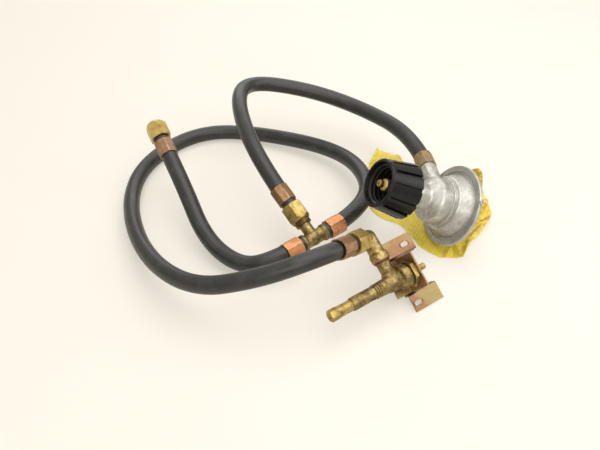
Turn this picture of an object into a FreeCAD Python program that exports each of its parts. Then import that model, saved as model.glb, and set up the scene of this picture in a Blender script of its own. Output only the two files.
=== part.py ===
"""Low-pressure gas regulator with three hoses, a tee and a burner valve on a bracket.

Millimetres, +Z up. The set lies on a flat surface at z = 0, and the origin is under the
middle of everything except the hoses and the free end.
"""
import FreeCAD, Part
import math
import os

os.makedirs("parts", exist_ok=True)

# Place of the set: the layout is written about its own zero, then moved by this much
CENTRE_X = 83.33
CENTRE_Y = -10.79

# Clearances between mating pieces
RUN_GAP = 0.10
FIT_GAP = 0.05
SEAT_GAP = 0.30

# Rubber hose
HOSE_R = 7.95
HOSE_BORE_R = 4.80
ARC_SHARE = 0.45

# Crimp ferrule, measured from the hose's cut end back along the hose
FERRULE_NEAR = 3.5
FERRULE_LENGTH = 16.5
FERRULE_R = 9.55
FERRULE_FLATS = 8
FERRULE_BLUNT = 0.15
FERRULE_BEVEL = 0.6

# Barbed tail inside a hose
TAIL_LENGTH = 18.0
TAIL_LEAD = 1.5
TAIL_TIP_CUT = 0.8
BARBS = 3
BARB_DEPTH = 0.6

# Flare swivel fitting, measured from the hose's cut end towards the nut's mouth
NUT_AF = 19.05
NUT_BACK = 0.8
NUT_MOUTH = 18.8
NUT_WALL = 4.1
NUT_LIP = 2.0
NUT_LIP_R = 9.3
NUT_BEVEL = 1.2
NUT_RELIEF_DEPTH = 0.4
NUT_RELIEF_PAST = 0.8
NUT_LEAD = 0.6
THREAD_R = 7.90
THREAD_DEPTH = 0.7
THREAD_PITCH = 1.5
CONE_SET_IN = 2.4
STEM_NECK_R = 5.5
STEM_HEAD_R = 7.2
STEM_HEAD_END = 8.2
STEM_COLLAR_R = 6.3
HOSE_TAIL_R = HOSE_BORE_R - FIT_GAP
FLARE_BORE_R = 3.2

# Tee: place, direction of its run and of its branch
TEE_AT = (12.7, -44.3, 24.0)
TEE_RUN = (0.7915, 0.6101, 0.0361)
TEE_BRANCH = (-0.5667, 0.7105, 0.4171)
TEE_FACE = 12.8
TEE_BODY_R = 6.7
TEE_FACE_R = 8.0
TEE_NECK_R = 5.6
TEE_NECK_END = 15.0
TEE_THREAD_LENGTH = 9.0
TEE_PAD = 0.6
BRANCH_CUT = 38.5

# Regulator: middle of the flange's front face, direction of the inlet, direction of the outlet
REG_AT = (145.3, -12.0, 34.1)
REG_AXIS = (-0.8504, -0.2042, 0.4848)
REG_OUTLET = (-0.1769, 0.9789, 0.1021)
FLANGE_R = 37.2
FLANGE_FRONT = 3.4
FLANGE_BACK = 1.6
CONE_R = 30.8
RIM_WALL = 1.75
RIM_BACK = 1.7
RIM_LIP_R = 33.0
RIM_LIP_T = 1.4
OUTLET_Z = 13.7
OUTLET_R = 8.2
OUTLET_END = 48.0
OUTLET_FERRULE_NEAR = 0.3
OUTLET_TAIL_R = 5.6
OUTLET_TAIL_BORE_R = 3.0
OUTLET_TAIL_IN = 16.0
OUTLET_FACETS = 12
FACETS_FROM = 34.0
NECK_R = 12.6
NECK_END = 58.0
CHAMBER_R = 29.0
POPPET_ROOM = (8.0, 45.0)
WEB_Z = (24.0, 32.0)
ORIFICE_R = 3.2
INSERT_R = 5.5
LIP = 0.4

# Cover, its neck, the vent on its cone and the lug on its rim
COVER_T = 2.0
COVER_R = 31.3
COVER_CROWN = -15.0
CROWN_R = 16.2
COVER_NECK_R = 11.0
COVER_NECK_BORE_R = 9.3
COVER_NECK_END = -20.0
CAP_WALL = 1.35
CAP_T = 1.5
CAP_FRONT = -17.8
VENT_ANGLE = 40.0
VENT_AT = 22.5
VENT_BOSS_R = 3.2
VENT_BOSS_END = -14.6
VENT_BOSS_LENGTH = 6.2
VENT_R = 2.0
VENT_SCREEN_T = 0.6
LUG_ANGLE = 231.6
LUG_Z = 2.6
LUG_R = 2.3
LUG_PROUD = 1.1
LUG_DIMPLE = (1.1, 0.8)

# Diaphragm, its plate and stem, the poppet, and the main spring with its adjusting screw
DIAPHRAGM_T = 1.2
CONVOLUTION_DEPTH = 2.2
PLATE_R = 22.0
PLATE_T = 1.2
PLATE_HUB_R = 2.0
WASHER_R = 12.0
WASHER_T = 1.0
POPPET_STEM_R = 1.5
POPPET_GAP = 2.6
POPPET_R = 5.6
POPPET_T = 3.0
SEAT_DISC_R = 5.4
SEAT_DISC_T = 1.2
SPRING_R = 9.1
SPRING_BORE_R = 7.5
LOCATOR_T = 2.0
ADJUSTER_TOP = -12.5
ADJUSTER_BACK = -18.6
ADJUSTER_SLOT = (14.0, 1.8, 2.0)

# Inlet nipple and what it holds
NIPPLE_THREAD_R = 7.5
NIPPLE_BACK = 44.2
NIPPLE_BORE_R = 3.3
NIPPLE_FLANGE_R = 12.0
FLANGE_FROM = 64.6
FLANGE_T = 2.8
THRUST_T = 0.6
NIPPLE_SHANK_R = 4.6
NIPPLE_COLLAR_R = 6.0
NIPPLE_COLLAR = (78.0, 83.6)
NIPPLE_TIP_END = 89.0
TIP_BORE_R = 1.4
SEAL_AT = 80.6
SEAL_GROOVE_R = 4.9
SEAL_GROOVE_HALF = 1.0
SEAL_R = 0.72
CHECK_STOP = (60.0, 62.0)
CHECK_STOP_BORE_R = 1.6
CHECK_POPPET_FROM = 74.0
CHECK_POPPET_R = 2.9
CHECK_POPPET_END = 78.8
CHECK_PIN_R = 1.1
CHECK_SPRING_R = (2.1, 3.0)

# Coupling nut
COUPLING_BACK = 58.5
COUPLING_MOUTH = 90.0
COUPLING_MOUTH_R = 22.4
COUPLING_BACK_R = 26.0
COUPLING_THREAD_R = 16.9
COUPLING_CRESTS = (81.0, 76.0, 71.0)
COUPLING_CREST_DEPTH = 1.3
COUPLING_LIP_R = 19.6
COUPLING_LEAD = 4.0
COUPLING_WALL = 5.2
COUPLING_GROOVES = 12
GROOVE_WIDTH = 3.4
GROOVE_DEPTH = 2.0
GROOVE_STOP = 3.6
JOURNAL_R = 9.0

# Burner valve: the plate's near face on the valve's axis, the axis towards the stem,
# the direction of the inlet
VALVE_AT = (96.2, -91.9, 27.8)
VALVE_AXIS = (0.8192, 0.5736, 0.0)
VALVE_INLET = (-0.4857, 0.6936, 0.5320)
INLET_STATION = -19.9
VALVE_BARREL_R = 7.6
VALVE_DRUM_R = 11.0
VALVE_THREAD_R = 9.4
VALVE_THREAD_DEPTH = 0.8
VALVE_INLET_R = 2.6
VALVE_OUTLET_R = 4.5
VALVE_WAY_R = 2.4
VALVE_BACK = -36.0
INLET_NECK_R = 6.2
INLET_NECK_SHOWS = 20.6
INLET_NECK_IN = 8.4
PLUG_FROM = -27.0
PLUG_TO = -8.5
PLUG_SMALL_R = 4.6
PLUG_LARGE_R = 5.6
PLUG_END_GAP = 0.6
PLUG_CROSS_R = 1.8
PLUG_WAY_R = 2.2
PLUG_WAY_PAST = 0.9
GLAND_R = 6.2
GLAND_GAP = 0.08
GLAND_TOP = 5.2
STEM_R = 3.0
STEM_JOURNAL_R = 3.2
STEM_SHOULDER = 5.5
STEM_END = 14.7
STEM_BEVEL = 0.5
STEM_FLAT_DEPTH = 0.5
STEM_COLLAR = (-5.4, -4.0)
STEM_COLLAR_WIDE_R = 5.2
STEM_TRAVEL = 2.0
TONGUE_END = -12.2
TONGUE_HALF = (2.0, 1.0)
TONGUE_SIDE_GAP = 0.2
TONGUE_EDGE_GAP = 0.1
STEM_SPRING_R = (3.2, 4.6)
LOCK_NUT_AF = 22.0
LOCK_NUT_BACK = -4.3
LOCK_NUT_BEVEL = 1.4

# Jet holder and jet on the valve's other end
JET_TIP = -88.0
JET_HEX_AF = 9.4
JET_HEX_FROM = -79.6
JET_R = 5.0
JET_SPIGOT_R = 3.5
JET_SPIGOT_END = -60.2
JET_BORE_R = 1.5
JET_ORIFICE_R = 0.6
HOLDER_R = 5.9
HOLDER_RING_PROUD = 0.6
HOLDER_FRONT = -66.0
HOLDER_BORE_R = 2.0
HOLDER_SPIGOT_END = -29.6
HOLDER_FLAT = (4.9, -50.5, -44.0)
HOLDER_AIR_HOLE = (1.7, -47.2)
HOLDER_TURN = 75.0

# Elbow: the corner lies on the valve's inlet axis, the leg points to the hose
ELBOW_CORNER = 43.4
ELBOW_LEG = (-0.6021, -0.7066, 0.3716)
ELBOW_R = 7.0
ELBOW_CUT = 26.8
ELBOW_BOSS_R = 8.4
ELBOW_BOSS_LENGTH = 6.0

# Ring of hardened sealant between the elbow and the valve's neck
SEALANT_R = 7.5
SEALANT_T = 2.0

# Bracket, in the valve's frame with its own roll
BRACKET_UP = (-0.4670, 0.6670, 0.5807)
SHEET_T = 1.5
BEND_R = 0.7
EAR_LEVEL = -9.0
EAR_FRONT = -8.2
EAR_BACK = 23.0
EAR_OUTER = 33.0
WALL_OUTER = 18.0
WEB_LEVEL = -16.0
WEB_FRONT = -15.5
PLATE_HEIGHT = 13.5
SLOT_LENGTH = 9.0
SLOT_WIDTH = 4.0
SLOT_LIP = 0.8
UPPER_SLOT = (13.5, 24.5)
LOWER_SLOT = (-2.2, -26.0)

# Free end of the branch hose
FREE_END = (-138.3, 63.6, 58.0)
FREE_NEXT = (-113.8, 19.0, 36.6)

# Paper tag under the regulator, and the short tie that lies on it
TAG_T = 0.6
TIE_R = 0.6
TIE_AT = (183.5, 36.5)
TIE_LENGTH = 11.0
TAG_OUTLINE = [(86, 126), (112, 112), (120, 92), (193, 40), (189, 11), (178, -10), (160, -34), (153, -49),
               (131, -47), (118, -37), (97, 3), (73, 18), (70, 34), (80, 60), (74, 90)]
TAG_CORNER_R = 3.0

# Places that the hoses pass through between their fittings, and how far each first leaves straight
REGULATOR_HOSE_BY = [(-67.0, 112.0, 73.0), (-57.0, 163.0, 66.0), (6.0, 167.0, 54.0), (65.0, 146.0, 44.0)]
VALVE_HOSE_BY = [(72.0, 31.0, 28.0), (45.0, 101.0, 18.0), (-50.0, 148.0, 9.0), (-117.0, 149.0, 8.3),
                 (-167.0, 93.0, 8.3), (-172.5, 21.0, 12.0), (-141.5, -65.0, 22.0), (-90.0, -121.0, 38.0),
                 (-34.0, -131.0, 60.0)]
FREE_HOSE_BY = [(-88.8, -36.8, 15.0), (-54.0, -70.0, 12.0)]
BRANCH_LEAVES = 95.0
RIGHT_LEAVES = 50.0
LEFT_LEAVES = -46.0
OUTLET_LEAVES = 50.0
VALVE_LEAVES = 41.0


# Outer sizes of the pieces as they are saved
BOXES = {}


def vec(x, y, z):
    return FreeCAD.Vector(x, y, z)


def world(point):
    """A point of the layout in the part's own frame."""
    return vec(point[0] - CENTRE_X, point[1] - CENTRE_Y, point[2])


def along(start, direction, distance):
    return tuple(s + d * distance for s, d in zip(start, direction))


def unit(a):
    size = math.sqrt(sum(v * v for v in a))
    return tuple(v / size for v in a)


def minus(a, b):
    return tuple(p - q for p, q in zip(a, b))


def cross(a, b):
    return (a[1] * b[2] - a[2] * b[1], a[2] * b[0] - a[0] * b[2], a[0] * b[1] - a[1] * b[0])


def flip(a):
    return tuple(-v for v in a)


def placed(shape, origin, z_dir, x_dir):
    """Move a shape from its own frame, z along z_dir and x along x_dir, into the set."""
    turn = FreeCAD.Rotation(vec(*x_dir), vec(0, 0, 0), vec(*z_dir), "ZXY")
    moved = shape.copy()
    moved.Placement = FreeCAD.Placement(world(origin), turn).multiply(shape.Placement)
    return moved


def rod(r, z0, z1):
    return Part.makeCylinder(r, z1 - z0, vec(0, 0, z0))


def taper(r0, r1, z0, z1):
    return Part.makeCone(r0, r1, z1 - z0, vec(0, 0, z0))


def cross_rod(r, length, at, direction):
    return Part.makeCylinder(r, length, vec(*at), vec(*direction))


def box(x0, x1, y0, y1, z0, z1):
    return Part.makeBox(x1 - x0, y1 - y0, z1 - z0, vec(x0, y0, z0))


def rounded_wire(points, plane):
    """Closed outline through (u, v) or (u, v, radius); a radius rounds that corner."""
    corners = [(p[0], p[1], p[2] if len(p) > 2 else 0.0) for p in points]
    starts, ends, mids = [], [], []
    count = len(corners)
    for i, (u, v, radius) in enumerate(corners):
        here = vec(u, v, 0)
        if radius == 0.0:
            starts.append(here)
            ends.append(here)
            mids.append(None)
            continue
        before = corners[i - 1]
        after = corners[(i + 1) % count]
        back = (vec(before[0], before[1], 0) - here).normalize()
        on = (vec(after[0], after[1], 0) - here).normalize()
        half = back.getAngle(on) / 2
        setback = radius / math.tan(half)
        middle = (back + on).normalize()
        centre = here + middle * (radius / math.sin(half))
        starts.append(here + back * setback)
        ends.append(here + on * setback)
        mids.append(centre - middle * radius)
    edges = []
    for i in range(count):
        if mids[i] is not None:
            edges.append(Part.Arc(plane(starts[i]), plane(mids[i]), plane(ends[i])).toShape())
        a, b = ends[i], starts[(i + 1) % count]
        if (a - b).Length > 1e-6:
            edges.append(Part.LineSegment(plane(a), plane(b)).toShape())
    return Part.Wire(edges)


def turned(points):
    """Solid of revolution about Z from an outline of (radius, height, rounding)."""
    face = Part.Face(rounded_wire(points, lambda p: vec(p.x, 0, p.y)))
    return face.revolve(vec(0, 0, 0), vec(0, 0, 1), 360)


def prism_xy(points, z0, z1):
    face = Part.Face(rounded_wire(points, lambda p: vec(p.x, p.y, z0)))
    return face.extrude(vec(0, 0, z1 - z0))


def prism_yz(points, x0, x1):
    face = Part.Face(rounded_wire(points, lambda p: vec(x0, p.x, p.y)))
    return face.extrude(vec(x1 - x0, 0, 0))


def polygon_rod(across_flats, sides, z0, z1, corner_cut):
    """Prism with flats, its corners turned down at both ends."""
    corner = across_flats / 2 / math.cos(math.pi / sides)
    points = [(corner * math.cos(2 * math.pi * k / sides), corner * math.sin(2 * math.pi * k / sides))
              for k in range(sides)]
    body = prism_xy(points, z0, z1)
    low = corner - corner_cut
    mask = turned([(0, z0), (low, z0), (corner + 0.01, z0 + corner_cut * 0.6),
                   (corner + 0.01, z1 - corner_cut * 0.6), (low, z1), (0, z1)])
    return body.common(mask)


def thread_crests(r, depth, z0, z1, pitch):
    """Outline points of a row of thread crests on the outside of a shaft."""
    points = []
    count = int((z1 - z0) / pitch)
    for k in range(count):
        z = z0 + k * pitch
        points += [(r - depth, z + 0.1 * pitch), (r, z + 0.4 * pitch), (r, z + 0.6 * pitch)]
    points.append((r - depth, z0 + count * pitch))
    return points


def join(shapes):
    result = shapes[0]
    for other in shapes[1:]:
        result = result.fuse(other)
    return result.removeSplitter()


def route_wire(points, label):
    """Straight runs joined by tangent arcs, each arc as large as its two runs allow."""
    at = [world(p) for p in points]
    edges = []
    here = at[0]
    length = 0.0
    radii = []
    for i in range(1, len(at) - 1):
        incoming = at[i] - at[i - 1]
        outgoing = at[i + 1] - at[i]
        setback = ARC_SHARE * min(incoming.Length, outgoing.Length)
        turn = incoming.getAngle(outgoing)
        radius = setback / math.tan(turn / 2)
        u = vec(*incoming).normalize()
        w = vec(*outgoing).normalize()
        start = at[i] - u * setback
        end = at[i] + w * setback
        middle = (w - u).normalize()
        centre = at[i] + middle * (radius / math.cos(turn / 2))
        edges.append(Part.LineSegment(here, start).toShape())
        edges.append(Part.Arc(start, centre - middle * radius, end).toShape())
        length += (start - here).Length + radius * turn
        radii.append(round(radius))
        here = end
    edges.append(Part.LineSegment(here, at[-1]).toShape())
    length += (at[-1] - here).Length
    print(label, "length %.0f" % length, "arc radii", radii)
    return Part.Wire(edges), length


def hose(points, label):
    """Rubber hose with its bore, checked against its section times its length."""
    path, length = route_wire(points, label)
    start = world(points[0])
    direction = world(points[1]) - start
    tubes = []
    for r in (HOSE_R, HOSE_BORE_R):
        ring = Part.Wire(Part.Circle(start, direction, r).toShape())
        tubes.append(path.makePipeShell([ring], True, False))
    solid = tubes[0].cut(tubes[1])
    section = math.pi * (HOSE_R ** 2 - HOSE_BORE_R ** 2)
    print(label, "volume over section times length %.4f" % (solid.Volume / section / length))
    return solid


def ferrule(near):
    """Crimped copper sleeve around a hose end, with a blunt ridge between each two flats."""
    far = near + FERRULE_LENGTH
    flats = FERRULE_R * 2 * math.cos(math.pi / FERRULE_FLATS)
    sleeve = polygon_rod(flats, FERRULE_FLATS, -far, -near, FERRULE_BEVEL)
    sleeve = sleeve.common(rod(FERRULE_R - FERRULE_BLUNT, -far, -near))
    return sleeve.cut(rod(HOSE_R + FIT_GAP, -far - 1, 0))


def hose_tail():
    """Outline points of a barbed tail of constant outer radius with shallow grooves, up to z = 0."""
    start = TAIL_LEAD - TAIL_LENGTH
    points = [(HOSE_TAIL_R - TAIL_TIP_CUT, -TAIL_LENGTH), (HOSE_TAIL_R, start)]
    pitch = -start / (BARBS + 1)
    for k in range(1, BARBS + 1):
        z = start + k * pitch
        points += [(HOSE_TAIL_R, z - 0.5), (HOSE_TAIL_R - BARB_DEPTH, z), (HOSE_TAIL_R, z + 0.8)]
    points.append((HOSE_TAIL_R, 0))
    return points


def flare_stem():
    """Barbed tail, collar and flared head that the swivel nut pulls on."""
    outline = [(FLARE_BORE_R, -TAIL_LENGTH)] + hose_tail()
    outline += [(STEM_COLLAR_R, 0), (STEM_COLLAR_R, NUT_BACK - SEAT_GAP)]
    outline += [(STEM_NECK_R, NUT_BACK - SEAT_GAP), (STEM_NECK_R, NUT_BACK + NUT_WALL + SEAT_GAP)]
    outline += [(STEM_HEAD_R, NUT_BACK + NUT_WALL + SEAT_GAP), (STEM_HEAD_R, STEM_HEAD_END)]
    outline += [(FLARE_BORE_R, STEM_HEAD_END)]
    return turned(outline)


def swivel_nut():
    """Hexagon flare nut: a chamfered turned mouth, a threaded bore and a back wall."""
    hexagon = polygon_rod(NUT_AF, 6, NUT_BACK, NUT_MOUTH - NUT_LIP, NUT_BEVEL)
    lip_from = NUT_BACK + NUT_WALL
    lip = turned([(0, lip_from), (NUT_LIP_R, lip_from), (NUT_LIP_R, NUT_MOUTH - NUT_LIP / 2),
                  (NUT_LIP_R - 0.6, NUT_MOUTH), (0, NUT_MOUTH)])
    inner = THREAD_R + RUN_GAP
    bore = rod(inner, lip_from, NUT_MOUTH + 1)
    relief = rod(inner + NUT_RELIEF_DEPTH, lip_from, STEM_HEAD_END + NUT_RELIEF_PAST)
    lead = taper(inner, inner + 0.5, NUT_MOUTH - NUT_LEAD, NUT_MOUTH + 0.01)
    hole = rod(STEM_NECK_R + RUN_GAP, NUT_BACK - 1, lip_from + 1)
    return join([hexagon, lip]).cut(bore).cut(relief).cut(lead).cut(hole)


def tee_body():
    """Forged tee in its own frame: run along X, branch along Z."""
    bore = FLARE_BORE_R
    run = turned([(0, -TEE_FACE), (TEE_FACE_R, -TEE_FACE), (TEE_FACE_R, -TEE_FACE + 2.2, 0.6),
                  (TEE_BODY_R, -TEE_FACE + 4.2, 0.8), (TEE_BODY_R, TEE_FACE - 4.2, 0.8),
                  (TEE_FACE_R, TEE_FACE - 2.2, 0.6), (TEE_FACE_R, TEE_FACE), (0, TEE_FACE)])
    tails = [turned([(0, -TAIL_LENGTH)] + hose_tail() + [(0, 0)]) for _ in range(2)]
    tails[0].Placement = FreeCAD.Placement(vec(0, 0, -TEE_FACE), FreeCAD.Rotation())
    tails[1].Placement = FreeCAD.Placement(vec(0, 0, TEE_FACE), FreeCAD.Rotation(vec(1, 0, 0), 180))
    run = join([run] + tails)
    run.rotate(vec(0, 0, 0), vec(0, 1, 0), 90)
    cone_end = BRANCH_CUT - STEM_HEAD_END - FIT_GAP
    outline = [(0, 0), (TEE_NECK_R, 0), (TEE_NECK_R, TEE_NECK_END)]
    thread_end = TEE_NECK_END + TEE_THREAD_LENGTH
    outline += thread_crests(THREAD_R, THREAD_DEPTH, TEE_NECK_END, thread_end, THREAD_PITCH)
    outline += [(THREAD_R - 0.4, thread_end + 0.2), (THREAD_R - 0.4, cone_end - 2.0)]
    outline += [(THREAD_R - CONE_SET_IN, cone_end), (0, cone_end)]
    branch = turned(outline)
    pad = Part.makeSphere(TEE_BODY_R + TEE_PAD)
    body = join([run, branch, pad])
    reach = TEE_FACE + TAIL_LENGTH + 2
    body = body.cut(cross_rod(bore, 2 * reach, (-reach, 0, 0), (1, 0, 0)))
    return body.cut(rod(bore, 0, cone_end + 1))


def regulator_body():
    """Casting: flange, cone, bead, domed front, inlet neck and outlet boss."""
    outer = turned([
        (0, FLANGE_BACK), (FLANGE_R, FLANGE_BACK), (FLANGE_R, FLANGE_FRONT, 0.5),
        (CONE_R, FLANGE_FRONT, 0.8), (25.5, 16.5, 2.5), (23.6, 17.2, 0.4), (23.6, 20.4, 0.9),
        (21.6, 20.9, 0.3), (21.6, 30.5, 4.5), (NECK_R, 38.5, 3.0), (NECK_R, NECK_END, 0.8), (0, NECK_END)])
    boss = rod(OUTLET_R, 10, OUTLET_END)
    facets = polygon_rod(2 * OUTLET_R, OUTLET_FACETS, FACETS_FROM, OUTLET_END, 0.5)
    boss = join([boss.common(rod(30, 10, FACETS_FROM + 2.0)), facets])
    boss.rotate(vec(0, 0, 0), vec(0, 1, 0), 90)
    boss.translate(vec(0, 0, OUTLET_Z))
    chamber = turned([(0, FLANGE_BACK - 1), (CHAMBER_R, FLANGE_BACK - 1), (CHAMBER_R, FLANGE_BACK + 0.4, 0.8),
                      (19.5, 14.0, 2.0), (17.5, WEB_Z[0], 2.0), (0, WEB_Z[0])])
    room_r, room_end = POPPET_ROOM
    poppet_room = rod(room_r, WEB_Z[1], room_end)
    inlet = rod(NIPPLE_THREAD_R + FIT_GAP, NIPPLE_BACK - 0.2, NECK_END + 1)
    insert_seat = rod(INSERT_R + FIT_GAP, WEB_Z[0] - 1, WEB_Z[1] + 1)
    outlet = rod(OUTLET_TAIL_R + FIT_GAP, 18.0, OUTLET_END + 1)
    outlet.rotate(vec(0, 0, 0), vec(0, 1, 0), 90)
    outlet.translate(vec(0, 0, OUTLET_Z))
    body = join([outer, boss])
    return body.cut(chamber).cut(poppet_room).cut(inlet).cut(insert_seat).cut(outlet)


def regulator_cover():
    """Pressed cover: the rim wraps the body's flange, the cone carries a vent and the crown a neck."""
    shoulder = FLANGE_BACK - DIAPHRAGM_T
    wrap = FLANGE_R + FIT_GAP
    rim = wrap + RIM_WALL
    face = FLANGE_FRONT + FIT_GAP
    front = face + RIM_LIP_T
    back = COVER_CROWN - COVER_T
    cup = turned([
        (COVER_NECK_R + 1.5, COVER_CROWN), (CROWN_R, COVER_CROWN, 1.5), (COVER_R, shoulder - 2.7, 1.0),
        (COVER_R, shoulder, 0.3), (wrap, shoulder), (wrap, face), (RIM_LIP_R, face), (RIM_LIP_R, front, 0.5),
        (rim, front, 1.2), (rim, RIM_BACK, 1.0), (COVER_R + 1.7, shoulder - 4.0, 1.5),
        (CROWN_R + 0.8, back, 2.0), (COVER_NECK_R + 1.5, back)])
    base = back + 0.1
    neck = turned([(COVER_NECK_BORE_R, COVER_NECK_END), (COVER_NECK_R, COVER_NECK_END, 0.6),
                   (COVER_NECK_R, base), (COVER_NECK_R + 1.6, base), (COVER_NECK_R + 1.6, COVER_CROWN),
                   (COVER_NECK_BORE_R, COVER_CROWN)])
    lug = cross_rod(LUG_R, rim + LUG_PROUD - wrap, (wrap, 0, LUG_Z), (1, 0, 0))
    lug = lug.cut(rod(wrap, -9, 9))
    dimple_r, dimple_depth = LUG_DIMPLE
    lug = lug.cut(cross_rod(dimple_r, 3, (rim + LUG_PROUD - dimple_depth, 0, LUG_Z), (1, 0, 0)))
    lug.rotate(vec(0, 0, 0), vec(0, 0, 1), LUG_ANGLE)
    boss = rod(VENT_BOSS_R, VENT_BOSS_END, VENT_BOSS_END + VENT_BOSS_LENGTH)
    hole = rod(VENT_R, VENT_BOSS_END - 1, 0)
    for shape in (boss, hole):
        shape.translate(vec(VENT_AT, 0, 0))
        shape.rotate(vec(0, 0, 0), vec(0, 0, 1), VENT_ANGLE)
    return join([cup, neck, lug, boss]).cut(hole)


def vent_screen():
    """Disc pressed into the vent."""
    disc = rod(VENT_R - FIT_GAP, VENT_BOSS_END + 0.4, VENT_BOSS_END + 0.4 + VENT_SCREEN_T)
    disc.translate(vec(VENT_AT, 0, 0))
    disc.rotate(vec(0, 0, 0), vec(0, 0, 1), VENT_ANGLE)
    return disc


def diaphragm():
    """Rubber disc with one convolution, its rim clamped between flange and cover."""
    top = FLANGE_BACK
    low = FLANGE_BACK - DIAPHRAGM_T
    dip = CONVOLUTION_DEPTH
    hole = PLATE_HUB_R + 2 * RUN_GAP
    return turned([(hole, low), (23.5, low, 0.6), (25.0, low - dip, 0.9), (28.0, low - dip, 0.9),
                   (29.5, low, 0.6), (FLANGE_R, low), (FLANGE_R, top), (29.9, top, 0.6),
                   (28.6, top - dip, 0.9), (24.4, top - dip, 0.9), (23.1, top, 0.6), (hole, top)])


def diaphragm_plate():
    """Plate under the diaphragm with the stem that carries the poppet."""
    low = FLANGE_BACK - DIAPHRAGM_T - PLATE_T
    washer = FLANGE_BACK + WASHER_T
    stem_end = WEB_Z[1] + POPPET_GAP
    plate = turned([(0, low), (PLATE_R, low), (PLATE_R, low + PLATE_T), (PLATE_HUB_R, low + PLATE_T),
                    (PLATE_HUB_R, FLANGE_BACK), (WASHER_R, FLANGE_BACK), (WASHER_R, washer),
                    (POPPET_STEM_R, washer), (POPPET_STEM_R, stem_end), (0, stem_end)])
    locator = rod(SPRING_BORE_R - SEAT_GAP, low - LOCATOR_T, low)
    return join([plate, locator])


def poppet():
    """Valve disc on the end of the stem, upstream of the orifice."""
    base = WEB_Z[1] + POPPET_GAP
    return turned([(0, base), (POPPET_R, base), (POPPET_R, base + POPPET_T, 0.5), (0, base + POPPET_T)])


def poppet_seat():
    top = WEB_Z[1] + POPPET_GAP
    low = top - SEAT_DISC_T
    return rod(SEAT_DISC_R, low, top).cut(rod(POPPET_STEM_R + RUN_GAP, low, top))


def orifice_insert():
    """Brass bush pressed into the web, with a raised lip for the seat."""
    low, top = WEB_Z
    return turned([(ORIFICE_R, low - LIP), (INSERT_R, low - LIP), (INSERT_R, top), (ORIFICE_R + 1.1, top),
                   (ORIFICE_R + 0.7, top + LIP), (ORIFICE_R + 0.4, top + LIP), (ORIFICE_R, top)])


def main_spring():
    """Envelope of the main spring between the plate and the adjusting screw."""
    low = FLANGE_BACK - DIAPHRAGM_T - PLATE_T
    return rod(SPRING_R, ADJUSTER_TOP, low).cut(rod(SPRING_BORE_R, ADJUSTER_TOP, low))


def adjusting_screw():
    """Threaded plug that sets the spring, with a slot for a wide driver."""
    r = COVER_NECK_BORE_R - RUN_GAP
    body = turned([(0, ADJUSTER_BACK), (r, ADJUSTER_BACK, 0.5), (r, ADJUSTER_TOP - 1.6),
                   (r - 0.6, ADJUSTER_TOP - 1.2), (r - 0.2, ADJUSTER_TOP), (0, ADJUSTER_TOP)])
    length, width, depth = ADJUSTER_SLOT
    slot = box(-length / 2, length / 2, -width / 2, width / 2, ADJUSTER_BACK - 1, ADJUSTER_BACK + depth)
    return body.cut(slot)


def neck_cap():
    """Plastic cap pressed over the cover's neck."""
    bore = COVER_NECK_R + FIT_GAP
    inner = COVER_NECK_END - RUN_GAP
    back = inner - CAP_T
    return turned([(0, back), (bore + CAP_WALL, back, 1.0), (bore + CAP_WALL, CAP_FRONT), (bore, CAP_FRONT),
                   (bore, inner), (0, inner)])


def inlet_nipple():
    """Brass nipple: thread, journal for the coupling nut, flange, rounded collar, hollow tip."""
    front = FLANGE_FROM + FLANGE_T
    collar_low, collar_top = NIPPLE_COLLAR
    outer = turned([
        (0, NIPPLE_BACK), (NIPPLE_THREAD_R, NIPPLE_BACK, 0.6), (NIPPLE_THREAD_R, NECK_END),
        (JOURNAL_R, NECK_END), (JOURNAL_R, FLANGE_FROM), (NIPPLE_FLANGE_R, FLANGE_FROM, 0.3),
        (NIPPLE_FLANGE_R, front, 0.5), (NIPPLE_SHANK_R, front, 0.8), (NIPPLE_SHANK_R, collar_low - 1.4),
        (NIPPLE_COLLAR_R, collar_low, 1.4), (NIPPLE_COLLAR_R, collar_top, 2.4),
        (NIPPLE_BORE_R, collar_top + 1.2, 0.4), (NIPPLE_BORE_R, NIPPLE_TIP_END, 0.5), (0, NIPPLE_TIP_END)])
    bore = rod(NIPPLE_BORE_R, NIPPLE_BACK - 1, collar_low + 2.0)
    tip = rod(TIP_BORE_R, collar_low + 1, NIPPLE_TIP_END + 1)
    low, top = SEAL_AT - SEAL_GROOVE_HALF, SEAL_AT + SEAL_GROOVE_HALF
    groove = rod(NIPPLE_COLLAR_R + 1, low, top).cut(rod(SEAL_GROOVE_R, low, top))
    return outer.cut(bore).cut(tip).cut(groove)


def thrust_washer():
    low = FLANGE_FROM - THRUST_T
    return rod(NIPPLE_FLANGE_R, low, FLANGE_FROM).cut(rod(JOURNAL_R + FIT_GAP, low, FLANGE_FROM))


def nipple_seal():
    """Rubber ring in the collar's groove."""
    return Part.makeTorus(SEAL_GROOVE_R + SEAL_R + 0.03, SEAL_R, vec(0, 0, SEAL_AT))


def check_poppet():
    """Small valve inside the nipple; its pin shows in the hollow tip."""
    pin_end = NIPPLE_TIP_END - 0.6
    return turned([(0, CHECK_POPPET_FROM), (CHECK_POPPET_R, CHECK_POPPET_FROM),
                   (CHECK_POPPET_R, CHECK_POPPET_END), (CHECK_PIN_R, CHECK_POPPET_END + 0.6),
                   (CHECK_PIN_R, pin_end, 0.3), (0, pin_end)])


def check_spring():
    inner, outer = CHECK_SPRING_R
    low, top = CHECK_STOP[1], CHECK_POPPET_FROM
    return rod(outer, low, top).cut(rod(inner, low, top))


def spring_stop():
    """Ring pressed into the nipple's bore that carries the check spring."""
    low, top = CHECK_STOP
    return rod(NIPPLE_BORE_R - FIT_GAP, low, top).cut(rod(CHECK_STOP_BORE_R, low, top))


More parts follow.
